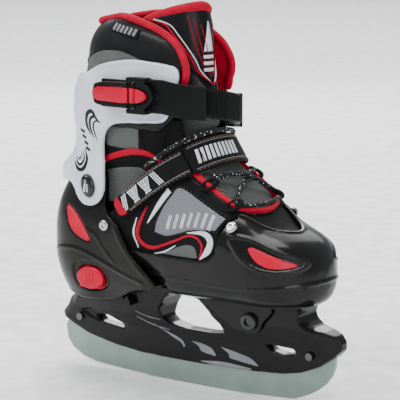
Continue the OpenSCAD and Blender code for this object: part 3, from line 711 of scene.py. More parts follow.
def build_stage():
    bpy.ops.mesh.primitive_plane_add(size=12, location=(0, 0, -0.0005))
    floor = bpy.context.object
    floor.name = "floor"
    floor.data.materials.append(plastic("floor_white", (0.92, 0.92, 0.92), 0.6, 0.0, 0.0))
    world = bpy.data.worlds.new("studio")
    bpy.context.scene.world = world
    world.use_nodes = True
    world.node_tree.nodes["Background"].inputs["Color"].default_value = (0.9, 0.93, 1.0, 1)
    world.node_tree.nodes["Background"].inputs["Strength"].default_value = 0.5
    lights = [
        ("key", (-0.9, -1.5, 1.7), 1.0, 42),
        ("fill", (1.9, -1.0, 0.9), 1.2, 22),
        ("top", (0.1, 0.2, 2.2), 1.0, 30),
        ("rim", (-1.2, 1.6, 1.2), 1.0, 18),
        ("backdrop", (-1.8, 2.5, 1.9), 4.0, 125),
    ]
    for name, spot, size, watts in lights:
        lamp = bpy.data.lights.new(name, "AREA")
        lamp.size = size
        lamp.energy = watts
        obj = new_object(name, lamp)
        obj.location = spot
        aim = Vector((0, 0, 0.15)) - Vector(spot) if name != "backdrop" else Vector((0, 0, -1))
        obj.rotation_euler = aim.to_track_quat("-Z", "Y").to_euler()


def build_camera():
    azimuth, elevation, distance = math.radians(36), math.radians(9.6), 1.5
    target = Vector((0.0045, 0, 0.148))
    back = Vector((math.sin(azimuth) * math.cos(elevation), -math.cos(azimuth) * math.cos(elevation),
                   math.sin(elevation)))
    data = bpy.data.cameras.new("camera")
    data.lens = 172.8
    data.sensor_width = 36
    camera = new_object("camera", data)
    camera.location = target + back * distance
    camera.rotation_euler = (-back).to_track_quat("-Z", "Y").to_euler()
    bpy.context.scene.camera = camera


# ---- surfaces of the boot ----------------------------------------------------------------------


def ring_across(x, half, z0, z1, e, centre, n=96):
    a = full_turn(n)
    return np.stack([np.full(n, x), centre + half * power(np.cos(a), 2 / e),
                     (z0 + z1) / 2 + (z1 - z0) / 2 * power(np.sin(a), 2 / e)], 1)


def toe_lean(x):
    """The toe leans to the inner side of the foot."""
    return 4 * (np.maximum(x, 0) / 120) ** 2


def sole_drop(x):
    """How much lower the sole bulges than the shell's inner floor, so that it hides the holder's deck."""
    grow = np.clip((x + 26) / 20, 0, 1)
    return 6.8 * grow * grow * (3 - 2 * grow)


def front_rings(t, drop=0.0):
    nose = NOSE_X + (TOE_X - NOSE_X) * np.sin(np.linspace(0, math.pi / 2, 34))
    xs = np.concatenate([np.linspace(-60, 66, 46), nose])
    rings = []
    for x, (half, z0, z1, e) in zip(xs, table_at(FRONT, xs)):
        at = x if x < NOSE_X else NOSE_X + (x - NOSE_X) * (TOE_X - t - NOSE_X) / (TOE_X - NOSE_X)
        middle = SOLE_Z + (z0 + z1) / 2
        low = min(SOLE_Z + z0 + t - drop * sole_drop(x), middle - 0.3)
        high = max(SOLE_Z + z1 - t, middle + 0.3)
        rings.append(ring_across(at, max(0.3, half - t), low, high, e, toe_lean(x)))
    return rings


def sole_band(level, rise, start=-52, inset=0.6):
    """A line round the front shell near its bottom, which rises towards the toe."""
    xs = start + (TOE_X - start) * np.sin(np.linspace(0, math.pi / 2, 90))
    half, z0, z1, e = table_at(FRONT, xs).T
    zs = level + rise * np.maximum(0, (xs - 60) / 60) ** 2
    z0 = z0 - sole_drop(xs)
    across = np.minimum(1, np.abs((zs - SOLE_Z - (z0 + z1) / 2) / ((z1 - z0) / 2)))
    out = np.maximum(0.8, half * (1 - across**e) ** (1 / e) - inset)
    near = np.column_stack([xs, toe_lean(xs) - out, zs])
    far = np.column_stack([xs, toe_lean(xs) + out, zs])
    return route(np.vstack([near, far[::-1]]), 200)


def ring_level(z, back, half, front, front_half, round_l=50, e=2.3, n=48):
    """A level ring, round at the heel and open-sided at the front."""
    a = np.linspace(90, 270, n) * math.pi / 180
    heel = np.stack([back + round_l * (1 - np.abs(np.cos(a)) ** (2 / e)), half * power(np.sin(a), 2 / e)], 1)
    v = np.linspace(0, 1, 14)[:, None]
    ease = smooth(v)
    side = np.hstack([front + (back + round_l - front) * v, front_half + (half - front_half) * ease])
    flat = np.vstack([side[:-1], heel, side[-2::-1] * (1, -1)])
    return np.column_stack([flat, np.full(len(flat), z)])


def rear_rings(t):
    zs = np.linspace(57, 168, 60)
    return [ring_level(z, HEEL_X + b + t, w - t, -5, f - t) for z, (b, w, f) in zip(zs, table_at(REAR, zs))]


def cuff_rings(t):
    zs = np.linspace(138, 260, 70)
    return [ring_level(z, b + t, w - t, 14, f - t, 52) for z, (b, w, f) in zip(zs, table_at(CUFF, zs))]


def collar_rings(table, t, z0, z1, count=40):
    zs = np.linspace(z0, z1, count)
    return [ring_level(z, b + t, w - t, x, f - t, COLLAR_ROUND, COLLAR_POWER)
            for z, (b, w, x, f) in zip(zs, table_at(table, zs))]


def collar_side(x, z, inset=0.0):
    """How far the collar's side is from the middle, at x and z."""
    back, half, front, front_half = table_at(COLLAR, z)[0]
    turn = back + COLLAR_ROUND
    if x >= turn:
        ease = smooth((x - front) / (turn - front))
        return front_half + (half - front_half) * ease - inset
    far = min(1, (turn - x) / (COLLAR_ROUND - inset))
    return (half - inset) * (1 - far**COLLAR_POWER) ** (1 / COLLAR_POWER)


def instep_power(x):
    """The superellipse power of the upper's section, which is squarer at the throat."""
    return 2.4 + np.interp(x, [24, 40, 54, 66], [0, 0.8, 0.8, 0])


def instep_height(x, y):
    """Height of the upper's surface at x and y."""
    half, top = table_at(INSTEP, x)[0]
    side = min(0.99, abs(y - toe_lean(x)) / half)
    e = instep_power(x)
    return (INSTEP_Z0 + top) / 2 + (top - INSTEP_Z0) / 2 * (1 - side**e) ** (1 / e)


def instep_rings(t, end=86):
    xs = np.linspace(-74, end, 70)
    return [ring_across(x, half - t, INSTEP_Z0 + t, top - t, instep_power(x), toe_lean(x))
            for x, (half, top) in zip(xs, table_at(INSTEP, xs))]


def above_rim(d=0.0):
    """Everything above and behind the rim of the front shell's sides."""
    return [
        (-90, 210), (-90, 109 + d), (36, 110 + d), (45 - d, 112.5 + d), (50.5 - d, 118 + d),
        (52.5 - d, 130), (57 - d, 139 + d), (64, 146 + d), (72, 210),
    ]


def about_z(half, z):
    """A closed outline from its upper half, given as x and height above z."""
    return [(x, z + h) for x, h in half] + [(x, z - h) for x, h in half[::-1] if h]


def box(low, high):
    x0, y0, z0 = low
    x1, y1, z1 = high
    return loft("tool", [[(x0, y0, z), (x1, y0, z), (x1, y1, z), (x0, y1, z)] for z in (z0, z1)])


# ---- holder and blade ----------------------------------------------------------------------------


def build_holder():
    holder = copy_node("skate_holder", "blade_holder")
    recess = [(-112, 46.5), (-100, 49.5), (-84, 47.5), (-62, 39.5), (-66, 36), (-92, 38), (-104, 42)]
    rear_hollow = [(-60, 66), (-42, 60), (-34, 66), (-38, 73), (-56, 73)]
    tools = []
    for side in (NEAR, FAR):
        ys = sorted((side * 5.2, side * 30))
        tools.append(prism(recess, *ys))
        tools.append(prism(rear_hollow, *sorted((side * 11.5, side * 13.2))))
        line = [(-100, side * 7.2, 33), (-60, side * 6.2, 26), (0, side * 5.8, 23.5), (60, side * 5.8, 25),
                (100, side * 6.4, 30)]
        tools.append(tube("tool", route(line, 40), 1.1, 8))
        seat = [(x, side * 15, z) for x, z in
                [(BOLT[0] + 11.6 * math.cos(a), BOLT[1] + 11.6 * math.sin(a))
                 for a in np.linspace(math.radians(170), math.radians(370), 16)]]
        tools.append(tube("tool", seat, 0.9, 8))
    carve(holder, *tools)
    mould(holder, 0.85, 8)
    place(holder, holder_black, "front", ["blade_holder"])
    prints_and_painted_highlights = [
        stripe([(-36, 45), (-22, 39), (-10, 34), (-7, 29.5)], [0.4, 1.0, 2.6, 2.2]),
        area([(1, 35.7), (12, 34.5), (20, 31.8), (23.5, 26.8)],
             [(2, 34.8), (7, 32.2), (10, 28.3), (22, 26.3)], 24),
        area([(28, 35), (44, 32.3), (57, 29.3), (63.5, 24.4)],
             [(30, 34), (36, 30), (38, 26.6), (62, 24)], 24),
        area([(8, 20.4), (30, 22.6), (57, 21.2)], [(9, 19.6), (30, 18.6), (56, 20)], 24),
        # The last two stripes are painted highlights: grey lines standing in for light caught along ribs of
        # the holder.
        stripe([(-52, 54), (-40, 50.5), (-28, 49.5)], [0.4, 0.9, 0.4]),
        stripe([(-52, 49), (-36, 44), (-20, 42)], [0.4, 0.9, 0.4]),
    ]
    for side, tag in SIDES:
        print_piece = skin(f"holder_prints_and_painted_highlights_{tag}", prints_and_painted_highlights, side_surface(holder, side), 0.15)
        place(print_piece, grey_print_and_painted_highlight, "front")
    lugs = mould(copy_node("toe_lug_plates", "toe_lugs"), 0.6, 2)
    place(lugs, shell_black, "front", ["toe_lugs"])


def build_bolts():
    x, z = BOLT
    for name, side, node in (("bolt_head", NEAR, "cross_bolt"), ("bolt_nut", FAR, "cross_bolt_nut")):
        profile = [(4, -4), (6.6, -4), (7, -3.4), (7, -1.6), (6.3, -0.3), (5.2, 0), (3.4, 0), (3.2, -1.8),
                   (0.3, -1.8)]
        reach = 20 if side == NEAR else 19.5
        head = lathe(name, profile, (x, side * reach, z), (0, side, 0), 40)
        place(head, gloss_black, "front", [node], 40)
    shank = lathe("bolt_shank", [(3.9, -17), (3.9, 17)], (x, 0, z), (0, 1, 0))
    place(shank, dark_steel, "front", sharp=40)


def dome(name, centre, axis, radius, height):
    """A polished dome rivet with a dished, drilled middle."""
    profile = [(radius, -1.2), (radius, height * 0.35), (radius * 0.93, height * 0.7),
               (radius * 0.72, height * 0.95), (radius * 0.5, height), (radius * 0.36, height * 0.9),
               (radius * 0.3, height * 0.5), (0.05, height * 0.45)]
    return lathe(name, profile, centre, axis, 40)


def build_rivets():
    for side, tag in SIDES:
        tilt = math.radians(25)
        axis = (0, side * math.cos(tilt), math.sin(tilt))
        spot = np.array([63, toe_lean(63) + side * 41.6, 138.5]) + 0.4 * np.array(axis)
        rivet = dome(f"toe_rivet_{tag}", spot, axis, 4.6, 1.9)
        place(rivet, bright_steel, "front", ["front_rivets"], 50)
        rivet = dome(f"heel_rivet_{tag}", (-59.5, side * 40.3, 127), (0, side, 0), 4.4, 1.8)
        place(rivet, bright_steel, "heel", ["heel_rivets"], 50)


# ---- shells ----------------------------------------------------------------------------------------


TOE_VENT = [(63, 132), (67, 124), (75, 115.5), (86, 109.5), (99, 107), (110, 108.5), (115.5, 112.5),
            (109, 117), (98, 122), (86, 127), (74, 131)]
TOE_LENS = [(78, 125), (82, 118), (89, 112.5), (99, 109.7), (111, 111.5), (103, 116), (92, 120.5)]
THROAT = [(20, -25), (52, -25), (66, -23.5), (78, -20), (88, -14), (94, -6), (96, 2.5), (94, 11),
          (88, 19), (78, 25), (66, 28.5), (52, 30), (20, 30)]


def build_front_shell():
    shell = loft("front_shell_moulding", front_rings(0, 1))
    inner = loft("tool", front_rings(SHELL_T))
    throat = loft("tool", [[(x, y, z) for x, y in THROAT] for z in (118, 170)])
    back = box((-62, -60, SOLE_Z + 5 + SHELL_T), (-56, 60, 150))
    carve(shell, inner, prism(above_rim()), throat, back)
    solid = loft("probe", front_rings(0, 1))
    details, grooves = [], []
    for side in (NEAR, FAR):
        at = side_surface(solid, side)
        rim, _ = at(route(TOE_VENT, 60, closed=True))
        details.append(tube("rim", rim, 1.5, 10, closed=True))
        crease, _ = at(route([(54, 128), (66, 122), (78, 110), (96, 103.5), (112, 104)], 40))
        grooves.append(tube("groove", crease, 0.7, 8))
        grooves.append(skin("groove", [patch(TOE_VENT)], at, 4, 0.8))
    details.append(tube("band", sole_band(93, 4), 1.4, 10))
    grooves.append(tube("groove", sole_band(89.5, 5.5, -50, 0.0), 0.8, 8))
    lip = [(57, -31), (66, -27), (76, -21.5), (86, -15), (93, -7), (96, 2), (93.5, 11), (87, 19), (77, 26),
           (66, 31), (57, 34)]
    on = cast_surface(solid, (0, 0, -1))
    lip_points, _ = on([(x, y, 170) for x, y in lip])
    details.append(tube("lip", route(lip_points, 60) + (0, 0, -0.6), 1.9, 10))
    bpy.data.objects.remove(solid)
    carve(shell, *grooves)
    carve(shell, *details, mode="UNION")
    mould(shell, 0.95, 3)
    place(shell, shell_black, "front", ["front_shell"])
    for side, tag in SIDES:
        lens = skin(f"toe_vent_{tag}", [patch(TOE_LENS)], side_surface(shell, side), 0.8, 0.4)
        place(lens, red_plastic, "front", ["toe_vent_lenses"])
    return shell


HEEL_VENT = [(-104, 138.5), (-101.5, 128), (-95.5, 119), (-86, 113.5), (-75, 111.5), (-79.5, 120),
             (-86.5, 129), (-95.5, 136.5)]


# raised lines of the rear shell: their points, how many, how deep they lie and their radius
HEEL_LINES = [
    ([(-118, 101), (-104, 104), (-88, 104), (-68, 98.5), (-46, 91.5), (-20, 85)], 50, 1.0, 1.9),
    ([(-80, 121), (-70, 117), (-62, 108), (-50, 98)], 30, 1.1, 1.7),
    ([(-53, 131), (-47, 121), (-39, 110), (-29, 100.5), (-17, 90.5)], 30, 0.7, 1.3),
    ([(-108, 66), (-96, 64.5), (-76, 65.5), (-57, 68.5), (-46, 73.5), (-33, 80), (-17, 83)], 40, 0.7, 1.2),
]


def build_rear_shell():
    outline = [
        (-140, 64), (-100, 64), (-96.5, 62), (-75.5, 63), (-56.5, 66), (-45.5, 71), (-32.5, 77.5),
        (-12.5, 81), (-7, 84), (-14.5, 92), (-24.5, 100), (-34.5, 108), (-41.5, 118), (-47.5, 128), (-58, 135),
        (-62.5, 142), (-63, 166), (-140, 166),
    ]
    shell = loft("rear_shell_moulding", rear_rings(0))
    keep = prism(outline)
    carve(shell, keep, mode="INTERSECT")
    floor_top, floor_bottom = SOLE_Z + 4.1, SOLE_Z + 0.5
    cuts = [carve(loft("tool", rear_rings(SHELL_T)), box((-200, -100, z0), (100, 100, z1)), mode="INTERSECT")
            for z0, z1 in ((floor_top, 200), (0, floor_bottom))]
    cuts += [box((-30, -37, floor_top), (30, 37, 125)), box((-30, -34, 50), (30, 34, floor_bottom))]
    solid = loft("probe", rear_rings(0))
    bx, bz = BUTTON
    oval = [(bx + 4.6 * s + 9.6 * math.cos(a), bz + 9.6 * math.sin(a))
            for s, a0 in ((1, -90), (-1, 90)) for a in np.radians(np.linspace(a0, a0 + 180, 14))]
    cuts.append(prism(oval, -60, -20))
    details = []
    for side in (NEAR, FAR):
        at = side_surface(solid, side)
        if side == NEAR:
            dish = [(-97, 84), (-94, 92), (-84, 96), (-70, 95), (-60, 90), (-57, 82), (-62, 75), (-74, 71),
                    (-86, 70.5), (-95, 75)]
            cuts.append(skin("dish", [patch(dish)], at, 4, 1.5))
        for points, count, depth, radius in HEEL_LINES:
            line, _ = at(route(points, count))
            details.append(tube("line", line - (0, side * depth, 0), radius, 10))
        cuts.append(skin("vent", [patch(HEEL_VENT)], at, 4, 1.2))
    bpy.data.objects.remove(solid)
    carve(shell, *details, mode="UNION")
    carve(shell, *cuts)
    mould(shell, 0.95, 3)
    place(shell, heel_black, "heel", ["rear_shell"])
    for side, tag in SIDES:
        outline = np.array(HEEL_VENT)
        small = outline.mean(0) + (outline - outline.mean(0)) * 0.95
        vent = skin(f"heel_vent_{tag}", [patch(small)], side_surface(shell, side), 0.8, 0.4)
        place(vent, red_plastic, "heel", ["heel_vent_inserts"])


def build_size_button():
    bx, bz = BUTTON
    turn = full_turn(56)
    rings = []
    for depth, shrink in ((-30.4, 0), (-36.4, 0), (-37.0, 0.6), (-37.3, 1.6), (-37.5, 3.4)):
        rings.append([(bx + (13.4 - shrink) * math.cos(a), depth, bz + (8.9 - shrink) * math.sin(a))
                      for a in turn])
    cap = loft("size_button_cap", rings)
    arm = copy_node("arm", "size_button")
    keep = box((-100, -31, 60), (-50, 0, 100))
    carve(arm, keep, mode="INTERSECT")
    cap = join("size_button_cap", cap, arm)
    place(cap, red_plastic, "size_button", ["size_button"], 40)
    ribs = skin("size_button_grip", [stripe([(bx + k * 3.2, bz - 4), (bx + k * 3.2, bz + 4)], [0.9, 0.9], 8)
                                     for k in (-1, 0, 1)], side_surface(cap, NEAR), 0.35)
    place(ribs, red_plastic, "size_button")


# ---- cuff -------------------------------------------------------------------------------------------


CUFF_EDGE = [
    (-130, 156), (-100, 158), (-92, 153), (-88.5, 147.5), (-82, 142.4), (-75.5, 141), (-69, 142.4),
    (-63.5, 147), (-60.8, 153), (-60.5, 160), (-60.5, 172), (-61, 184), (-60.6, 195), (-57, 203),
    (-50, 207.5), (-40, 209), (-24, 210), (-9, 211), (-4, 212.3), (0, 216), (2.5, 222), (6.5, 233),
    (10.5, 245), (10.5, 251), (7.5, 255), (-3, 257), (-14.5, 258), (-31.5, 259), (-48.5, 257),
    (-64.5, 253), (-80, 246.5), (-104, 242.5), (-130, 241),
]


def build_cuff():
    cuff = loft("hinged_cuff", cuff_rings(0))
    carve(cuff, prism(route(CUFF_EDGE, 200)), mode="INTERSECT")
    window = loft("tool", [[(x, 16.5 * math.cos(a) * 0.98, 184.5 + 8.5 * math.sin(a))
                            for a in full_turn(32)] for x in (-130, -90)])
    carve(cuff, loft("tool", cuff_rings(SHELL_T)), window)
    solid = loft("probe", cuff_rings(0))
    details, grooves = [], []
    for side in (NEAR, FAR):
        at = side_surface(solid, side)
        lower = [(-62.7, 150), (-62.4, 160), (-62.4, 172), (-62.9, 184), (-62.4, 196), (-58, 204.6),
                 (-50, 209.3), (-40, 210.9), (-24, 212), (-9, 213), (-5, 214.5), (-2, 218)]
        line, _ = at(route(lower, 60))
        details.append(tube("edge", line - (0, side * 0.5, 0), 1.35, 10))
        upper = [(8.6, 247), (8.3, 251), (6, 253.2), (-3, 255.2), (-14.5, 256.2), (-31.5, 257.2),
                 (-48.5, 255.2), (-64.5, 251.2), (-80, 244.8), (-92, 241.8)]
        line, _ = at(route(upper, 60))
        details.append(tube("edge", line - (0, side * 0.5, 0), 1.3, 10))
        line, _ = at(route([(-93, 176), (-86, 184), (-82, 196), (-81, 208), (-79, 219), (-72, 232),
                            (-66, 240)], 50))
        grooves.append(tube("groove", line, 0.9, 8))
        ring = [(PIVOT[0] + 10.5 * math.cos(a), PIVOT[1] + 13 * math.sin(a))
                for a in full_turn(40)]
        line, _ = at(ring)
        grooves.append(tube("groove", line, 0.8, 8, closed=True))
    bpy.data.objects.remove(solid)
    carve(cuff, *details, mode="UNION")
    carve(cuff, *grooves)
    mould(cuff, 0.95, 3)
    place(cuff, cuff_white, "cuff", ["cuff"])
    upper_swoosh = [
        stripe([(-66, 208), (-72, 216), (-78, 213), (-78.5, 205), (-74, 197)], [0.5, 3.0, 3.8, 3.0, 0.5]),
        stripe([(-64, 207), (-69, 212), (-74, 210), (-74.5, 203), (-70, 194)], [0.4, 2.0, 2.6, 2.0, 0.4]),
        stripe([(-62.5, 208), (-67, 209), (-70.5, 206.5), (-70.5, 201), (-66.5, 193)],
               [0.3, 1.3, 1.7, 1.3, 0.3]),
    ]
    lower_swoosh = [
        stripe([(-82, 186), (-78.5, 178), (-81, 170.5), (-87, 169), (-94, 175)], [0.5, 2.6, 3.4, 2.8, 0.5]),
        stripe([(-84.5, 184), (-81.8, 178.5), (-84, 173.5), (-88, 173), (-93, 178)],
               [0.4, 1.6, 2.2, 1.8, 0.4]),
        stripe([(-87, 183), (-85.5, 179.5), (-87.5, 176.8), (-91, 178.5)], [0.3, 1.1, 1.4, 0.3]),
    ]
    bars = [stripe([(-87.5 + k * 2.3, 200.5 - k * 4.6), (-82.2 + k * 2.3, 198.6 - k * 4.6)], [2.3, 2.3], 8)
            for k in range(4)]
    for side, tag in SIDES:
        at = side_surface(cuff, side)
        for name, grids in (("cuff_swoosh", upper_swoosh + lower_swoosh), ("cuff_bars", bars)):
            place(skin(f"{name}_{tag}", grids, at, 0.15), black_print, "cuff")
        px, pz = PIVOT
        rings = []
        lean = math.radians(12)
        for depth, shrink in ((39.6, 0), (41.3, 0), (42.3, 0.7), (42.9, 1.9), (43.1, 3.6)):
            ring = []
            for a in full_turn(48):
                u, v = (6.3 - shrink) * math.cos(a), (9.3 - shrink) * math.sin(a)
                ring.append((px + u * math.cos(lean) - v * math.sin(lean), side * depth,
                             pz + u * math.sin(lean) + v * math.cos(lean)))
            rings.append(ring)
        cap = loft(f"pivot_cap_{tag}", rings)
        place(cap, gloss_black, "cuff", ["pivot_caps"], 60)
        mark = [stripe([(px - 1.6, pz - 4.5), (px - 0.4, pz + 5)], [2.4, 0.5], 10),
                stripe([(px + 1.4, pz - 4.8), (px + 1.2, pz + 1.5)], [1.2, 1.0], 10)]
        on_cap = side_surface(cap, side)
        place(skin(f"pivot_mark_{tag}", mark, on_cap, 0.12), white_print, "cuff")


# ---- collar, liner and tongue --------------------------------------------------------------------------


COLLAR_EDGE = [
    (11, 243), (13.2, 249), (12.6, 258), (6.8, 268.5), (-1.5, 276), (-13.5, 282.5), (-26, 286.8),
    (-39.5, 290), (-51.5, 291.5), (-61.5, 290.3), (-71.5, 288.5),
]


def build_collar():
    collar = loft("padded_collar", collar_rings(COLLAR, 0.8, 200, 294))
    outline = [(-120, 201), (-14, 201), (-4, 207), (6, 217), (8.7, 232), (11, 243)] + [
        (x - 0.7, z - 0.8) for x, z in route(COLLAR_EDGE, 30)] + [(-84, 285), (-120, 269)]
    carve(collar, prism(outline), mode="INTERSECT")
    carve(collar, loft("tool", collar_rings(COLLAR, 6.5, 199, 295)), box((-6, -24.5, 190), (34, 24.5, 310)))
    puff(collar, 3.4, 1.6)
    collar.data.materials.clear()
    collar.data.materials.append(black_leather)
    collar.data.materials.append(red_cloth)
    for face in collar.data.polygons:
        outward = face.center - Vector((-0.055, 0, face.center.z))
        limit = 0.5 if face.center.x > 0 else -0.2
        face.material_index = int(face.normal.dot(outward.normalized()) < limit)
    place(collar, None, "cuff", ["collar"])
    rim = [(x, -(collar_side(x, z) - 3.2), z) for x, z in COLLAR_EDGE]
    rim += [(-80, -15, 286.5), (-84.5, 0, 285.5)]
    rim = np.array(rim + [(x, -y, z) for x, y, z in rim[-2::-1]], float)
    rim[:, 2] -= 1.2
    start = np.array([(9.5, -29.5, 233), (11.5, -29.8, 239)])
    whole = route(np.vstack([start, rim, start[::-1] * (1, -1, 1)]), 150)
    binding = tube("collar_binding", whole, 3.1, 14)
    mould(binding, 0.9, 2)
    place(binding, red_cloth, "cuff")
    arc = [(-99, 243), (-93, 250), (-84, 256.5), (-75, 261), (-61, 265), (-45, 265.5), (-34, 263),
           (-24, 259.5)]
    low = [(-99, 238), (-93, 238), (-84, 240), (-75, 244), (-61, 248), (-45, 252), (-34, 252), (-24, 252)]
    for side, tag in SIDES:
        at = side_surface(collar, side)
        panel = skin(f"collar_mesh_{tag}", [area(arc, low, 60, 12)], at, 0.35)
        place(panel, ankle_mesh, "cuff")
        points, _ = at(route(arc + [(-14, 256)], 70))
        piping = tube(f"collar_piping_{tag}", points, 0.9, 8)
        place(piping, black_cloth, "cuff")
        flap = [(-58, 287), (-40, 283.5), (-27, 281)], [(-55, 279), (-40, 275.5), (-29, 273.5)]
        badge = skin(f"collar_badge_{tag}", [area(*flap, 30, 8)], at, 0.5)
        place(badge, black_cloth, "cuff")
        bars = [stripe([(-54.5 + 4.3 * k, 280.4 - 0.75 * k), (-52.4 + 4.3 * k, 285.4 - 0.75 * k)],
                       [2.7, 2.7], 8) for k in range(6)]
        on_badge = side_surface(badge, side)
        place(skin(f"collar_bars_{tag}", bars, on_badge, 0.12), grey_print_and_painted_highlight, "cuff")
        seam, _ = at(route([(-24, 259.5), (-12, 254), (-2, 246), (3, 236)], 40))
        place(tube(f"collar_seam_{tag}", seam, 0.7, 8), black_cloth, "cuff")


def build_liner():
    liner = loft("ankle_liner", collar_rings(LINER, 0, 141, 214))
    outline = [(-120, 166.5), (-92, 166.5), (-79, 150), (-66, 142), (-30, 147), (2, 166), (9, 185), (10, 200),
               (8, 214), (-120, 214)]
    carve(liner, prism(outline), mode="INTERSECT")
    carve(liner, loft("tool", collar_rings(LINER, 4, 140, 215)), box((-6, -25, 130), (34, 25, 230)))
    mould(liner, 1.5, 3)
    place(liner, black_cloth, ANKLE_BEND, ["ankle_gusset"])
    upper_mesh = [area([(-62, 209), (-46, 209), (-31, 209)], [(-62, 190), (-46, 188.5), (-31, 188)], 24, 10)]
    band = [area([(-64, 181), (-50, 186), (-36, 189), (-22, 187.5), (-10, 181)],
                 [(-64, 176.5), (-50, 181), (-36, 184), (-22, 183.5), (-9, 178)], 40, 6)]
    lower_mesh = [area([(-64, 170), (-48, 173), (-32, 174), (-26, 171)], [(-64, 142), (-48, 144), (-36, 146),
                                                                         (-30, 150)], 24, 12)]
    for side, tag in SIDES:
        at = side_surface(liner, side)
        place(skin(f"ankle_mesh_upper_{tag}", upper_mesh, at, 0.4), ankle_mesh, ANKLE_BEND)
        place(skin(f"ankle_band_{tag}", band, at, 1.0), red_cloth, ANKLE_BEND)
        place(skin(f"ankle_mesh_lower_{tag}", lower_mesh, at, 0.4), ankle_mesh, ANKLE_BEND)
        seams = []
        for line in ([(-29, 209), (-28, 198), (-26, 189)], [(-6, 205), (-8, 192), (-7, 182)]):
            points, _ = at(route(line, 24))
            seams.append(tube("seam", points, 0.6, 8))
        place(join(f"ankle_seams_{tag}", *seams), black_cloth, ANKLE_BEND)


def tongue_point(z, s, lift=0.0):
    """A point of the tongue's face at height z; s runs from -1 to 1 across it."""
    (x,) = table_at(TONGUE, z)[0]
    grow = min(1, max(0, (z - 190) / 60))
    half, wrap = 20.5 + 4.5 * grow, 13 + 37 * grow
    a = s * math.radians(84)
    y = (half + lift) * math.sin(a)
    return np.array([x + lift * math.cos(a) - wrap * (1 - math.cos(a)), y, z])


def tongue_top(s):
    return 300.4 - 11.5 * abs(s) ** 2.2 - 9 * min(0.35, max(0, s + 0.05))


def build_tongue():
    rows, cols, thick = 60, 45, 7
    outer, inner = [], []
    for u in np.linspace(0, 1, rows):
        for side in np.linspace(-1, 1, cols):
            z = 186 + (tongue_top(side) - 186) * u
            outer.append(tongue_point(z, side))
            inner.append(tongue_point(z, side * 0.985, -thick))
    pad = puff(make("padded_tongue", outer + inner, slab_faces(rows, cols)), 2.4, 0.8)
    pad.data.materials.clear()
    for material in (black_leather, red_cloth, tongue_mesh):
        pad.data.materials.append(material)
    for face in pad.data.polygons:
        face.material_index = 1 if face.normal.x < -0.35 else 2 if face.center.z < 0.222 else 0
    place(pad, None, TONGUE_BEND, ["tongue_flex", "tongue_upper"])

    def face(flat):
        points = np.array([tongue_point(z, s, 0.4) for s, z in flat])
        nearby = np.array([tongue_point(z, s, 1.4) for s, z in flat])
        return points, unit(nearby - points)

    edge = route([tongue_point(tongue_top(s) - 1.0, s, -2.6) for s in np.linspace(-1, 1, 25)], 80)
    fade = np.abs(np.linspace(-1, 1, 80)) ** 2.5
    binding = tube("tongue_binding", edge, 4.2 - 1.7 * fade, 14)
    mould(binding, 1.0, 2)
    place(binding, red_cloth, TONGUE_BEND)
    line = [(-0.86, 289), (-0.8, 288.5), (-0.66, 285), (-0.55, 276), (-0.35, 259), (-0.26, 250),
            (-0.08, 241.5), (0, 239.5)]
    for name, shift, width, material, slot in (
        ("tongue_white_piping", 0.0, 1.3, white_print, "collar_black"),
        ("tongue_red_piping", -0.06, 1.9, red_cloth, "lining_red"),
        ("tongue_dark_piping", -0.13, 1.6, black_cloth, "collar_black"),
    ):
        tubes = []
        for side in (1, -1):
            path, _ = face([(side * (s + shift * min(1, -4 * s)), z) for s, z in route(line, 60)])
            tubes.append(tube("line", path, width / 2, 8))
        place(join(name, *tubes), material, TONGUE_BEND)
    mesh = []
    for side in (-1, 1):
        first = [(side * s, z) for s, z in ((0.98, 288), (0.8, 284.5), (0.68, 276), (0.5, 261), (0.41, 250),
                                            (0.22, 237), (0.1, 231))]
        second = [(side * 0.98, z) for z in (262, 258, 254, 250, 244, 236, 230)]
        mesh.append(area(first, second, 40, 16))
    place(skin("tongue_side_mesh", mesh, face, 0.1, 0.8), tongue_mesh, TONGUE_BEND)
    fine = []
    for side in (-1, 1):
        for shift in (0, 0.09, 0.2):
            line = [(side * (0.42 - shift), 292 - 30 * shift), (side * (0.36 - shift), 276),
                    (side * (0.24 - shift * 0.8), 258), (side * 0.05, 246)]
            fine.append(stripe(line, [0.012, 0.02, 0.02, 0.01], 30))
    place(skin("tongue_lines", fine, face, 0.15), dark_red_cloth, TONGUE_BEND)
    mark = [stripe([(-0.07, 265), (-0.04, 288)], [0.24, 0.02], 20)]
    mark += [stripe([(-0.2, z), (0.06, z)], [2.6, 2.6], 8) for z in (261, 256, 251)]
    place(skin("tongue_mark", mark, face, 0.2), white_print, TONGUE_BEND)


# ---- woven upper, straps and lace ----------------------------------------------------------------------


UPPER_EDGE = [(-90, 134), (-60, 136), (-30, 152), (0, 169), (36, 190), (60, 215), (-90, 215)]
# edge of the eyestay round the throat, in X and Y
EYESTAY = [
    (10, -28), (22, -31), (38, -31), (52, -29.5), (60, -25), (65, -14), (67.5, 0), (65, 14), (60, 25),
    (52, 30), (38, 32), (22, 32), (10, 29),
]


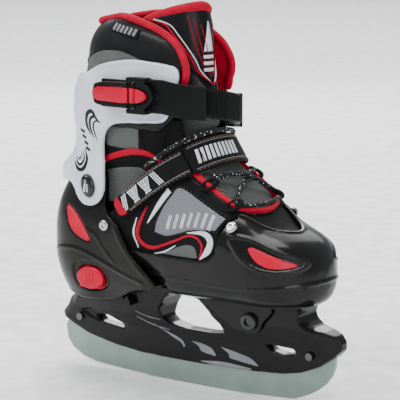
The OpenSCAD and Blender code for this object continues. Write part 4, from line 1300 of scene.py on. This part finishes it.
def build_upper():
    upper = loft("woven_upper", instep_rings(0))
    carve(upper, prism(above_rim(0.6)), mode="INTERSECT")
    carve(upper, loft("tool", front_rings(SHELL_T + 0.4)), mode="UNION")
    throat = loft("tool", [[(x, y, z) for x, y in EYESTAY] for z in (120, 210)])
    carve(upper, loft("tool", instep_rings(1.8, 61)), loft("tool", front_rings(SHELL_T + 2.2)),
          prism(UPPER_EDGE), throat, box((-95, -60, 60), (-71, 60, 180)),
          box((-76, -27, SOLE_Z + 12.5), (-56, 27, 190)))
    mould(upper, 1.1, 3)
    place(upper, black_cloth, QUARTER_BEND, ["boot_upper"])
    panel = [
        area([(-9, 134), (-2, 146), (6, 156), (14, 163.5), (30, 157), (45, 150), (57, 144)],
             [(-11, 127), (0, 125), (12, 128), (24, 132), (38, 134), (50, 135)], 60, 20),
    ]
    lower_panel = [
        area([(-6, 111), (0, 112), (12, 117.5), (22, 120.5), (29, 119), (31.5, 112)],
             [(-6, 110.7), (4, 110.3), (14, 110.3), (24, 110.4), (31, 111)], 40, 10),
    ]
    red_swoosh = [stripe(
        [(-18, 146), (-24, 136), (-29, 124), (-26, 117), (-18, 114), (-9, 115), (9, 122), (22, 127.5),
         (31, 127.5), (36, 124), (37, 119), (33, 111)],
        [0.8, 2.4, 3.4, 3.6, 3.2, 2.5, 2.1, 1.9, 1.8, 1.8, 1.7, 0.9], 120)]
    white_lines = [
        stripe([(-29, 136), (-33, 123), (-29, 112)], [0.7, 1.7, 0.8], 40),
        stripe([(22, 130), (38, 131.5), (45, 127), (43, 119), (34, 110.5)], [0.6, 2.6, 5.6, 5.4, 0.8], 60, 7),
        stripe([(4, 161), (-5, 150), (-18, 133)], [4.8, 3.8, 0.8], 40, 5),
        stripe([(-12, 109.5), (-1, 112.5), (10, 118.5)], [0.8, 1.5, 0.7], 30),
    ]
    bars = [stripe([(x, 130 + lift), (x + 4.4, 141.5 + lift)], [3.0, 3.0], 10)
            for x, lift in ((2, 0.5), (9, 1.6), (16, 3), (23, 4.4), (30, 5.2), (37, 5.4), (43.5, 4.6))]
    for side, tag in SIDES:
        at = side_surface(upper, side)
        for name, grids, material, slot, lift in (
            ("side_panel", panel, side_mesh, "upper_mesh", 0.45),
            ("lower_panel", lower_panel, olive_mesh, "upper_mesh", 0.35),
            ("red_swoosh", red_swoosh, red_cloth, "lining_red", 0.75),
            ("white_lines", white_lines, white_print, "upper_mesh", 0.6),
            ("panel_bars", bars, pale_thread, "upper_mesh", 0.7),
        ):
            place(skin(f"{name}_{tag}", grids, at, lift), material, QUARTER_BEND)
        seams = []
        for line in ([(-10, 134.5), (-2, 147), (6, 157), (14, 165), (30, 158.5), (45, 151.5), (58, 145)],
                     [(-12, 126.5), (0, 124.2), (12, 127), (24, 131), (38, 133), (51, 134)]):
            seams += dashes(line)
        place(skin(f"panel_stitches_{tag}", seams, at, 0.6), dark_thread, QUARTER_BEND)
    rim = np.array([(x, y, instep_height(x, y) - 1.0) for x, y in route(EYESTAY, 110)])
    edge = tube("throat_lining", rim, 2.5, 12)
    place(edge, red_cloth, THROAT_BEND)
    stay = []
    for side, points in ((NEAR, EYESTAY[:4]), (FAR, EYESTAY[-4:])):
        line = route([(x, y + side * 3.6) for x, y in points], 40)
        stay.append(tube("seam", [(x, y, instep_height(x, y) + 0.1) for x, y in line], 0.45, 6))
    place(join("eyestay_seams", *stay), dark_thread, QUARTER_BEND)


def build_throat():
    xs, ys = np.linspace(19, 66.6, 34), np.linspace(-1, 1, 31)
    grid = []
    for x in xs:
        reach = 33 * math.sqrt(1 - ((x - 19) / 49) ** 5)
        grid.append([(x, toe_lean(x) + reach * s, 0) for s in ys])
    grid = np.array(grid)

    def under(flat):
        points = np.array([(x, y, instep_height(x, y) - 3.4) for x, y, _ in flat])
        return points, np.tile((0.3, 0, 0.954), (len(points), 1))

    tongue = skin("throat_tongue", [grid], under, 0, 3.6)
    mould(tongue, 1.3, 4)
    place(tongue, tongue_mesh, THROAT_BEND, ["tongue_lower"])


def strap_point(d, y):
    """A point of the instep strap's outer face, d back along its run from the crest."""
    bow = 0 if d < 8 else 3.2 * math.sin(math.pi * min(1, (d - 8) / 84))
    return CREST + STRAP_RUN * -d + (0, y, 0) + STRAP_SIDE * bow * 0.6


def build_instep_strap():
    crest_line = [
        (76, 40.8), (50, 42.4), (34, 42.7), (20, 41.2), (13, 38.8), (8, 35.8), (4, 31.8), (0.5, 26),
        (-2.5, 19), (-4.3, 10), (-4.8, 0), (-4.3, -10), (-2.5, -19), (0.5, -26), (4, -31.8), (8, -35.8),
    ]
    flap_line = [
        (9.3, -36.9), (13, -38.9), (20, -41.4), (34, -43), (50, -42.8), (65, -42), (78, -41.2), (88, -40.6),
    ]
    crest = Webbing([strap_point(d, y) for d, y in crest_line], -STRAP_SIDE,
                    [12, 16, 18, 19, 22, 25, 26, 26, 25, 23], 2.6, 140)
    flap = Webbing([strap_point(d, y) for d, y in flap_line], -STRAP_SIDE,
                   [22.8, 21.5, 20.4, 19.6, 19, 18.6, 18.2, 17.8, 17.4, 17, 16.2, 14.5, 8.5], 2.6, 110)
    under = Webbing([strap_point(d, y) + (0.6, 2.4, 0.6) for d, y in
                     ((1, -28.5), (4, -32.2), (8, -36), (13, -39), (20, -41.4), (28, -42.2))], -STRAP_SIDE,
                    [21, 20.5, 20, 19, 17], 1.2, 40)
    place(under.solid("instep_strap_backing"), webbing, "front", sharp=60)
    place(crest.solid("instep_strap_webbing"), webbing, "front", ["instep_strap"], 60)
    place(flap.solid("instep_strap_flap"), webbing, "instep_flap", ["instep_flap"], 60)
    for name, strap, body, rows in (
        ("instep_strap", crest, "front", (-10.4, 10.4, -9.0, 9.0)),
        ("instep_flap", flap, "instep_flap", (-8.4, 8.4, -7.2, 7.2)),
    ):
        start, end = (0.2, 0.98) if strap is crest else (0.01, 0.84)
        fine = [row for v in rows[:2] for row in strap.stitches(v, start, end, width=0.45)]
        place(skin(f"{name}_stitches", fine, strap.surface, 0.2), tan_thread, body)
        line = [np.array([[(u, v + e) for u in np.linspace(start, end, 90)] for e in (-0.22, 0.22)])
                for v in rows[2:]]
        place(skin(f"{name}_piping", line, strap.surface, 0.22), grey_print_and_painted_highlight, body)
    bars = [stripe([(0.655 + 0.031 * k, -5.6), (0.668 + 0.031 * k, 5.6)], [0.019, 0.019], 10)
            for k in range(10)]
    place(skin("instep_strap_mark", bars, crest.surface, 0.2), white_print, "front")
    zigzag = []
    for k in range(6):
        u = 0.36 + 0.088 * k
        lean = 0.055 if k % 2 else -0.055
        zigzag += [stripe([(u + shift, -5.8), (u + shift + lean, 5.8)], [0.014, 0.014], 12)
                   for shift in (0, 0.026, 0.052)]
    place(skin("instep_flap_print", zigzag, flap.surface, 0.22), white_print, "instep_flap")
    tip = [area([(0.905, -7.6), (0.955, -6.6), (0.985, -4.0)],
                [(0.88, 7.8), (0.95, 6.6), (0.985, 4.0)], 20, 12)]
    place(skin("instep_flap_tip", tip, flap.surface, 0.5, 0.5), red_cloth, "instep_flap")
    spot = strap_point(70, 0) + (0, 42.2, 0)
    place(dome("instep_strap_rivet_head", spot, (0, 1, 0), 4.3, 1.6), bright_steel, "front",
          ["instep_strap_rivet"], 50)


LACE = [
    (37, 22, 3), (36.5, 27, 3), (38, 25, 2.6), (41, 14, 2.6), (46, 1, 2.6), (51, -12, 2.6),
    (56, -24, 2.6), (58.5, -28, 3.2), (61, -26, 3), (64.5, -14, 2.6), (66, 0, 2.6), (64.5, 16, 2.6),
    (61, 27, 3), (58.5, 31, 3.2), (55.5, 26, 2.6), (51, 14, 5), (46, 1, 7.4), (41, -12, 5),
    (38, -25, 2.6), (36.5, -27, 3), (37, -22, 3),
]
# the lace's last run, round the ankle on the instep strap's upper edge: d and y as in strap_point
LACE_TOP = [
    (46, 38), (40, 40.2), (30, 40.8), (20, 39.4), (12, 36.4), (6, 32), (1.5, 25), (-1.5, 16), (-3, 6),
    (-3, -6), (-1.5, -16), (1.5, -25), (6, -32), (12, -36.4), (20, -39.4), (30, -40.8), (40, -40.2),
    (46, -38),
]


def build_lace():
    path = [(x, y, instep_height(x, y) + lift) for x, y, lift in LACE]
    top = [CREST + STRAP_RUN * (1.4 - d) + (0, y, 0) + STRAP_SIDE * 15.2 for d, y in LACE_TOP]
    lace = join("lace_run", tube("lace", route(path, 260), 1.95, 12), tube("lace", route(top, 160), 1.9, 12))
    place(lace, lace_cord, "front", ["lace"])
    loops = []
    for x, y in ((37, -32), (37, 32), (58, -30), (58, 30)):
        side = 1 if y > 0 else -1
        centre = np.array([x, y, instep_height(x, y) + 2.2])
        down = unit(np.array([-0.55, side * 0.75, -0.5]))
        along = unit(np.cross(down, (0, side, 0.6)))
        ring = [centre + 6.4 * math.cos(a) * down + 3.8 * math.sin(a) * along
                for a in full_turn(40)]
        loops.append(tube("loop", ring, 2.0, 10, closed=True, flat=0.7))
    place(join("webbing_loops", *loops), webbing, "front", ["lace_loops"])


# ---- buckle ---------------------------------------------------------------------------------------------


def ladder_point(x, y):
    return np.array([x, y, 223.5 - 0.2 * y])


def build_buckle():
    base = mould(copy_node("buckle_base_plate", "buckle_base"), 0.7, 2)
    place(base, buckle_black, "cuff", ["buckle_base"])
    z, pin_x, pin_y = BUCKLE_Z, LEVER[0], LEVER[1]
    arm = about_z([(-27, 9.8), (-42, 9.8), (-54, 9), (-60, 6.5), (-61.5, 0)], z)
    lever = bevel(prism(route(arm, 60), pin_y - 4.6, pin_y + 1.1), 1.2)
    barrel = lathe("barrel", [(3.1, -9.6), (3.1, 9.6)], (pin_x, pin_y, z), (0, 0, 1))
    bore = lathe("bore", [(1.6, -20), (1.6, 20)], (pin_x, pin_y, z), (0, 0, 1))
    pocket = about_z([(-20, 6.2), (-48, 6.6), (-66, 5.8)], z)
    carve(lever, barrel, mode="UNION")
    carve(lever, bore, prism(pocket, pin_y - 9, pin_y - 3.15))
    lever.name = "buckle_lever_arm"
    mould(lever, 0.5, 2)
    place(lever, buckle_black, "buckle_lever", ["buckle_lever"])
    inlay = about_z([(-26.9, 5.8), (-34, 6.2), (-56, 5.6), (-60.6, 3), (-61.2, 0)], z)
    inlay = bevel(prism(inlay, pin_y - 4.3, pin_y - 3.05), 0.5)
    knuckle = lathe("knuckle", [(3.4, -5.7), (3.4, 5.7)], (pin_x, pin_y, z), (0, 0, 1), 40)
    carve(knuckle, box((pin_x - 5, pin_y - 0.3, z - 8), (pin_x + 5, pin_y + 5, z + 8)),
          box((pin_x + 2.6, pin_y - 5, z - 8), (pin_x + 5, pin_y + 5, z + 8)))
    inlay = join("lever_red_inlay", inlay, knuckle)
    place(inlay, red_plastic, "buckle_lever", ["lever_inlay"], 40)
    nose = about_z([(-19.5, 5.5), (-16, 4.9), (-11, 2.8), (-9, 0)], z)
    nose = bevel(prism(nose, pin_y - 4.3, pin_y - 0.6), 0.5)
    nose.name = "buckle_red_nose"
    place(nose, red_plastic, "cuff", ["buckle_inlay"], 40)
    surround = about_z([(-20, 12.5), (-14, 10.8), (-7, 6), (-3.6, 0)], z)
    surround = prism(route(surround, 40), pin_y - 2.8, pin_y + 2)
    hollow = about_z([(-24, 6.6), (-16, 6), (-10, 3.6), (-7.8, 0)], z)
    carve(surround, prism(route(hollow, 40), pin_y - 9, pin_y - 1.2))
    surround.name = "buckle_nose_surround"
    place(mould(surround, 0.5, 2), buckle_black, "cuff")
    line = [(12.5, -36), (19, -29.4), (25, -21), (29.4, -11), (32, 2), (30.6, 14), (25.5, 25), (17, 34),
            (5, 40.4), (-8, 43.2)]
    count = 520
    strap = Webbing([ladder_point(x, y) for x, y in line], (0, 0, 1), [23] * 10, 2.2, count)
    far = np.linspace(0, strap.length(), count)
    tooth = np.clip(1.15 - np.abs((far / 2.7) % 1 - 0.35) * 2.6, 0, 1) * 0.9
    tooth *= (far > 2) & (far < strap.length() - 22)
    teeth = strap.solid("ladder_strap_teeth", tooth)
    place(teeth, buckle_black, "cuff", ["ladder_strap"], 35)
    end = mould(copy_node("ladder_strap_end", "ladder_end"), 0.7, 3)
    place(end, buckle_black, "cuff", ["ladder_end"])
    spot = (-4, 45.9, 223.5 - 0.2 * 42)
    place(dome("ladder_strap_rivet", spot, (0, 1, 0), 4, 1.6), bright_steel, "cuff",
          ["ladder_rivet"], 50)


# ---- inside of the boot ---------------------------------------------------------------------------------


def build_inside():
    for name, node, material, slot, body, voxel in (
        ("heel_wrap_pad", "heel_pad", black_cloth, "lining_red", "heel", 1.8),
        ("insole", "footbed", foam, "foam_grey", "front", 1.4),
        ("heel_rest", "heel_cushion", foam, "foam_grey", "heel", 1.6),
    ):
        pad = mould(copy_node(name, node), voxel, 5)
        place(pad, material, body, [node])


def finish_cad_nodes():
    """Materials for the hard CAD nodes that are shown as they are."""
    for material, nodes in (
        (blade_steel, ["blade"]),
        (bright_steel, ["sole_screws", "ankle_pivots", "buckle_pin", "buckle_rivets"]),
        (dark_steel, ["button_spring", "blade_screws"]),
        (holder_black, ["size_rack", "heel_guides"]),
    ):
        for node in nodes:
            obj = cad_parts[node]
            for slot in obj.material_slots:
                slot.material = material


build_holder()
build_bolts()
build_rivets()
build_front_shell()
build_rear_shell()
build_size_button()
build_cuff()
build_collar()
build_liner()
build_tongue()
build_upper()
build_throat()
build_instep_strap()
build_lace()
build_buckle()
build_inside()
finish_cad_nodes()
build_stage()
build_camera()
